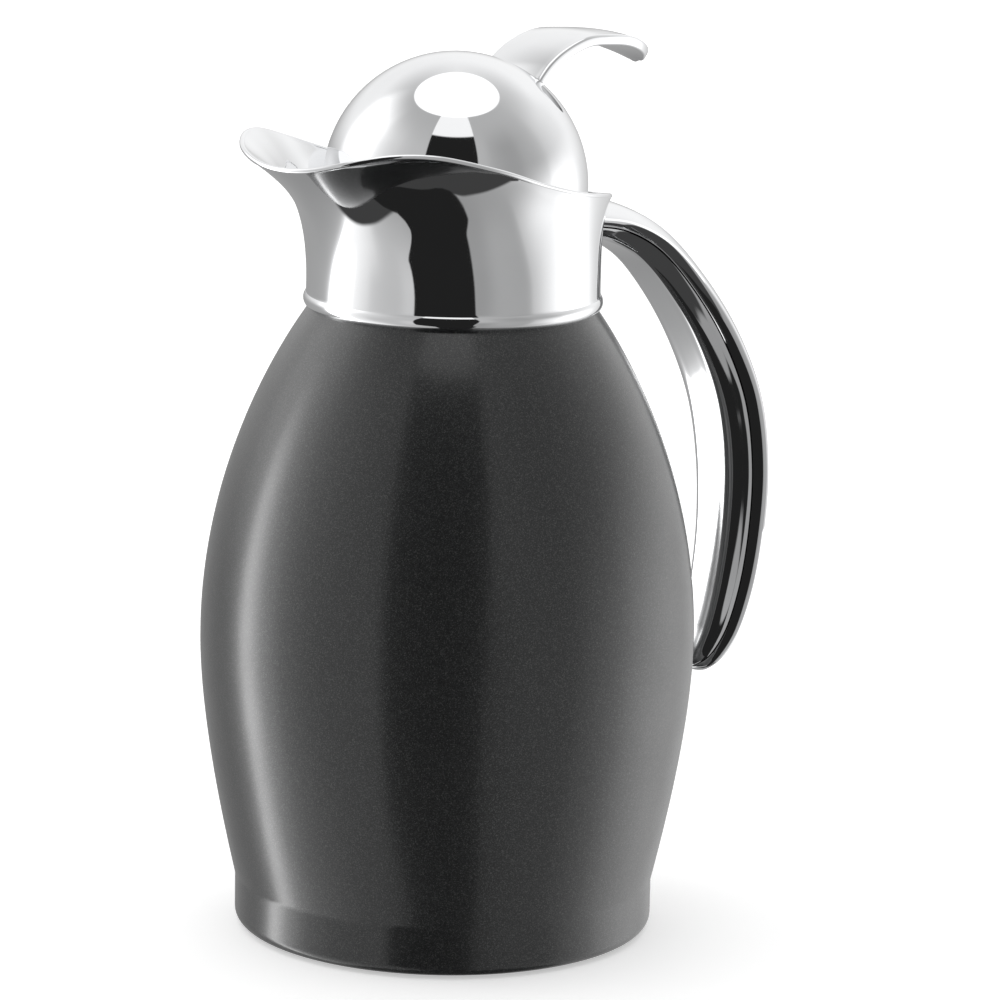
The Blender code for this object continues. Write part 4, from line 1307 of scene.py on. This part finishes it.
def add_studio():
    studio = Studio()
    side = studio.along(to_row((1.0, 0.0, 0.0)))
    front = studio.along(to_row((0.0, -1.0, 0.0)))
    height = studio.along((0.0, 0.0, 1.0))
    turn = studio.math("MULTIPLY_ADD", studio.math("ARCTAN2", side, front), 0.5 / math.pi, 0.5)
    roof, high, low, table = (
        studio.ramp(turn, [(bearing(degrees), share) for degrees, share in stops])
        for stops in (ROOF, HIGH_WALL, LOW_WALL, TABLE)
    )

    def shifted(edge, shifts):
        for degrees, start, end in shifts:
            edge = studio.math("MULTIPLY_ADD", studio.step(height, start, end), degrees / 360, edge)
        return edge

    rise, start, end = NADIR_RISE
    edge = studio.math("MULTIPLY_ADD", studio.step(turn, start, end), rise, NADIR_EDGE)
    above = studio.step(studio.math("SUBTRACT", height, edge), -NADIR_BLUR, NADIR_BLUR)
    tent = studio.mix(above, NADIR, table)
    for band, fade in ((low, LOW_FADE), (high, HIGH_FADE), (roof, ROOF_FADE)):
        tent = studio.mix(studio.step(height, *fade), tent, band)
    tent = studio.math("MULTIPLY", tent, TENT_PEAK)

    start, middle, end = (bearing(degrees) for degrees in STRIP)
    strip = studio.math("MULTIPLY", studio.step(turn, start, middle), STRIP_PEAK)
    for value, fade in ((turn, (end, middle)), (height, STRIP_LOW), (height, STRIP_HIGH)):
        strip = studio.math("MULTIPLY", strip, studio.step(value, *fade))
    tent = studio.math("ADD", tent, strip)

    left = shifted(bearing(SLIT_LEFT), LEFT_SHIFTS)
    right = shifted(bearing(SLIT_RIGHT), RIGHT_SHIFTS)
    past_left = studio.step(studio.math("SUBTRACT", turn, left), -SLIT_BLUR, SLIT_BLUR)
    before_right = studio.step(studio.math("SUBTRACT", turn, right), SLIT_BLUR, -SLIT_BLUR)
    over = studio.step(height, SLIT_TOP - SLIT_TOP_BLUR, SLIT_TOP + SLIT_TOP_BLUR)
    slit = studio.mix(over, SLIT_DARK, SLIT_BRIGHT)
    tent = studio.mix(studio.math("MULTIPLY", past_left, before_right), tent, slit)

    near_axis = studio.along(to_row(LAMP_AXIS))
    lamp = studio.step(near_axis, LAMP_EDGE - LAMP_BLUR, LAMP_EDGE + LAMP_BLUR)
    tent = studio.mix(lamp, tent, LAMP_BRIGHT)
    seen = studio.tree.nodes.new("ShaderNodeLightPath").outputs["Is Camera Ray"]
    tent = studio.mix(seen, tent, 1.0)
    studio.tree.links.new(tent, studio.background.inputs["Color"])
    bpy.context.scene.view_settings.view_transform = "Standard"


def add_floor():
    mesh = bpy.data.meshes.new("floor")
    bm = bmesh.new()
    bmesh.ops.create_circle(bm, cap_ends=True, segments=96, radius=FLOOR_RADIUS)
    bm.to_mesh(mesh)
    bm.free()
    floor = linked("floor", mesh)
    paint = bpy.data.materials.new("floor_paint")
    paint.use_nodes = True
    shader = paint.node_tree.nodes["Principled BSDF"]
    shader.inputs["Base Color"].default_value = (0.93, 0.93, 0.93, 1.0)
    shader.inputs["Roughness"].default_value = 0.9
    shader.inputs["Specular IOR Level"].default_value = 0.0
    shader.inputs["Emission Color"].default_value = (1.0, 1.0, 1.0, 1.0)
    shader.inputs["Emission Strength"].default_value = FLOOR_GLOW
    mesh.materials.append(paint)
    floor.visible_glossy = False


build_carafe()
build_lid()
finish_cad_nodes()
add_camera()
add_studio()
add_floor()
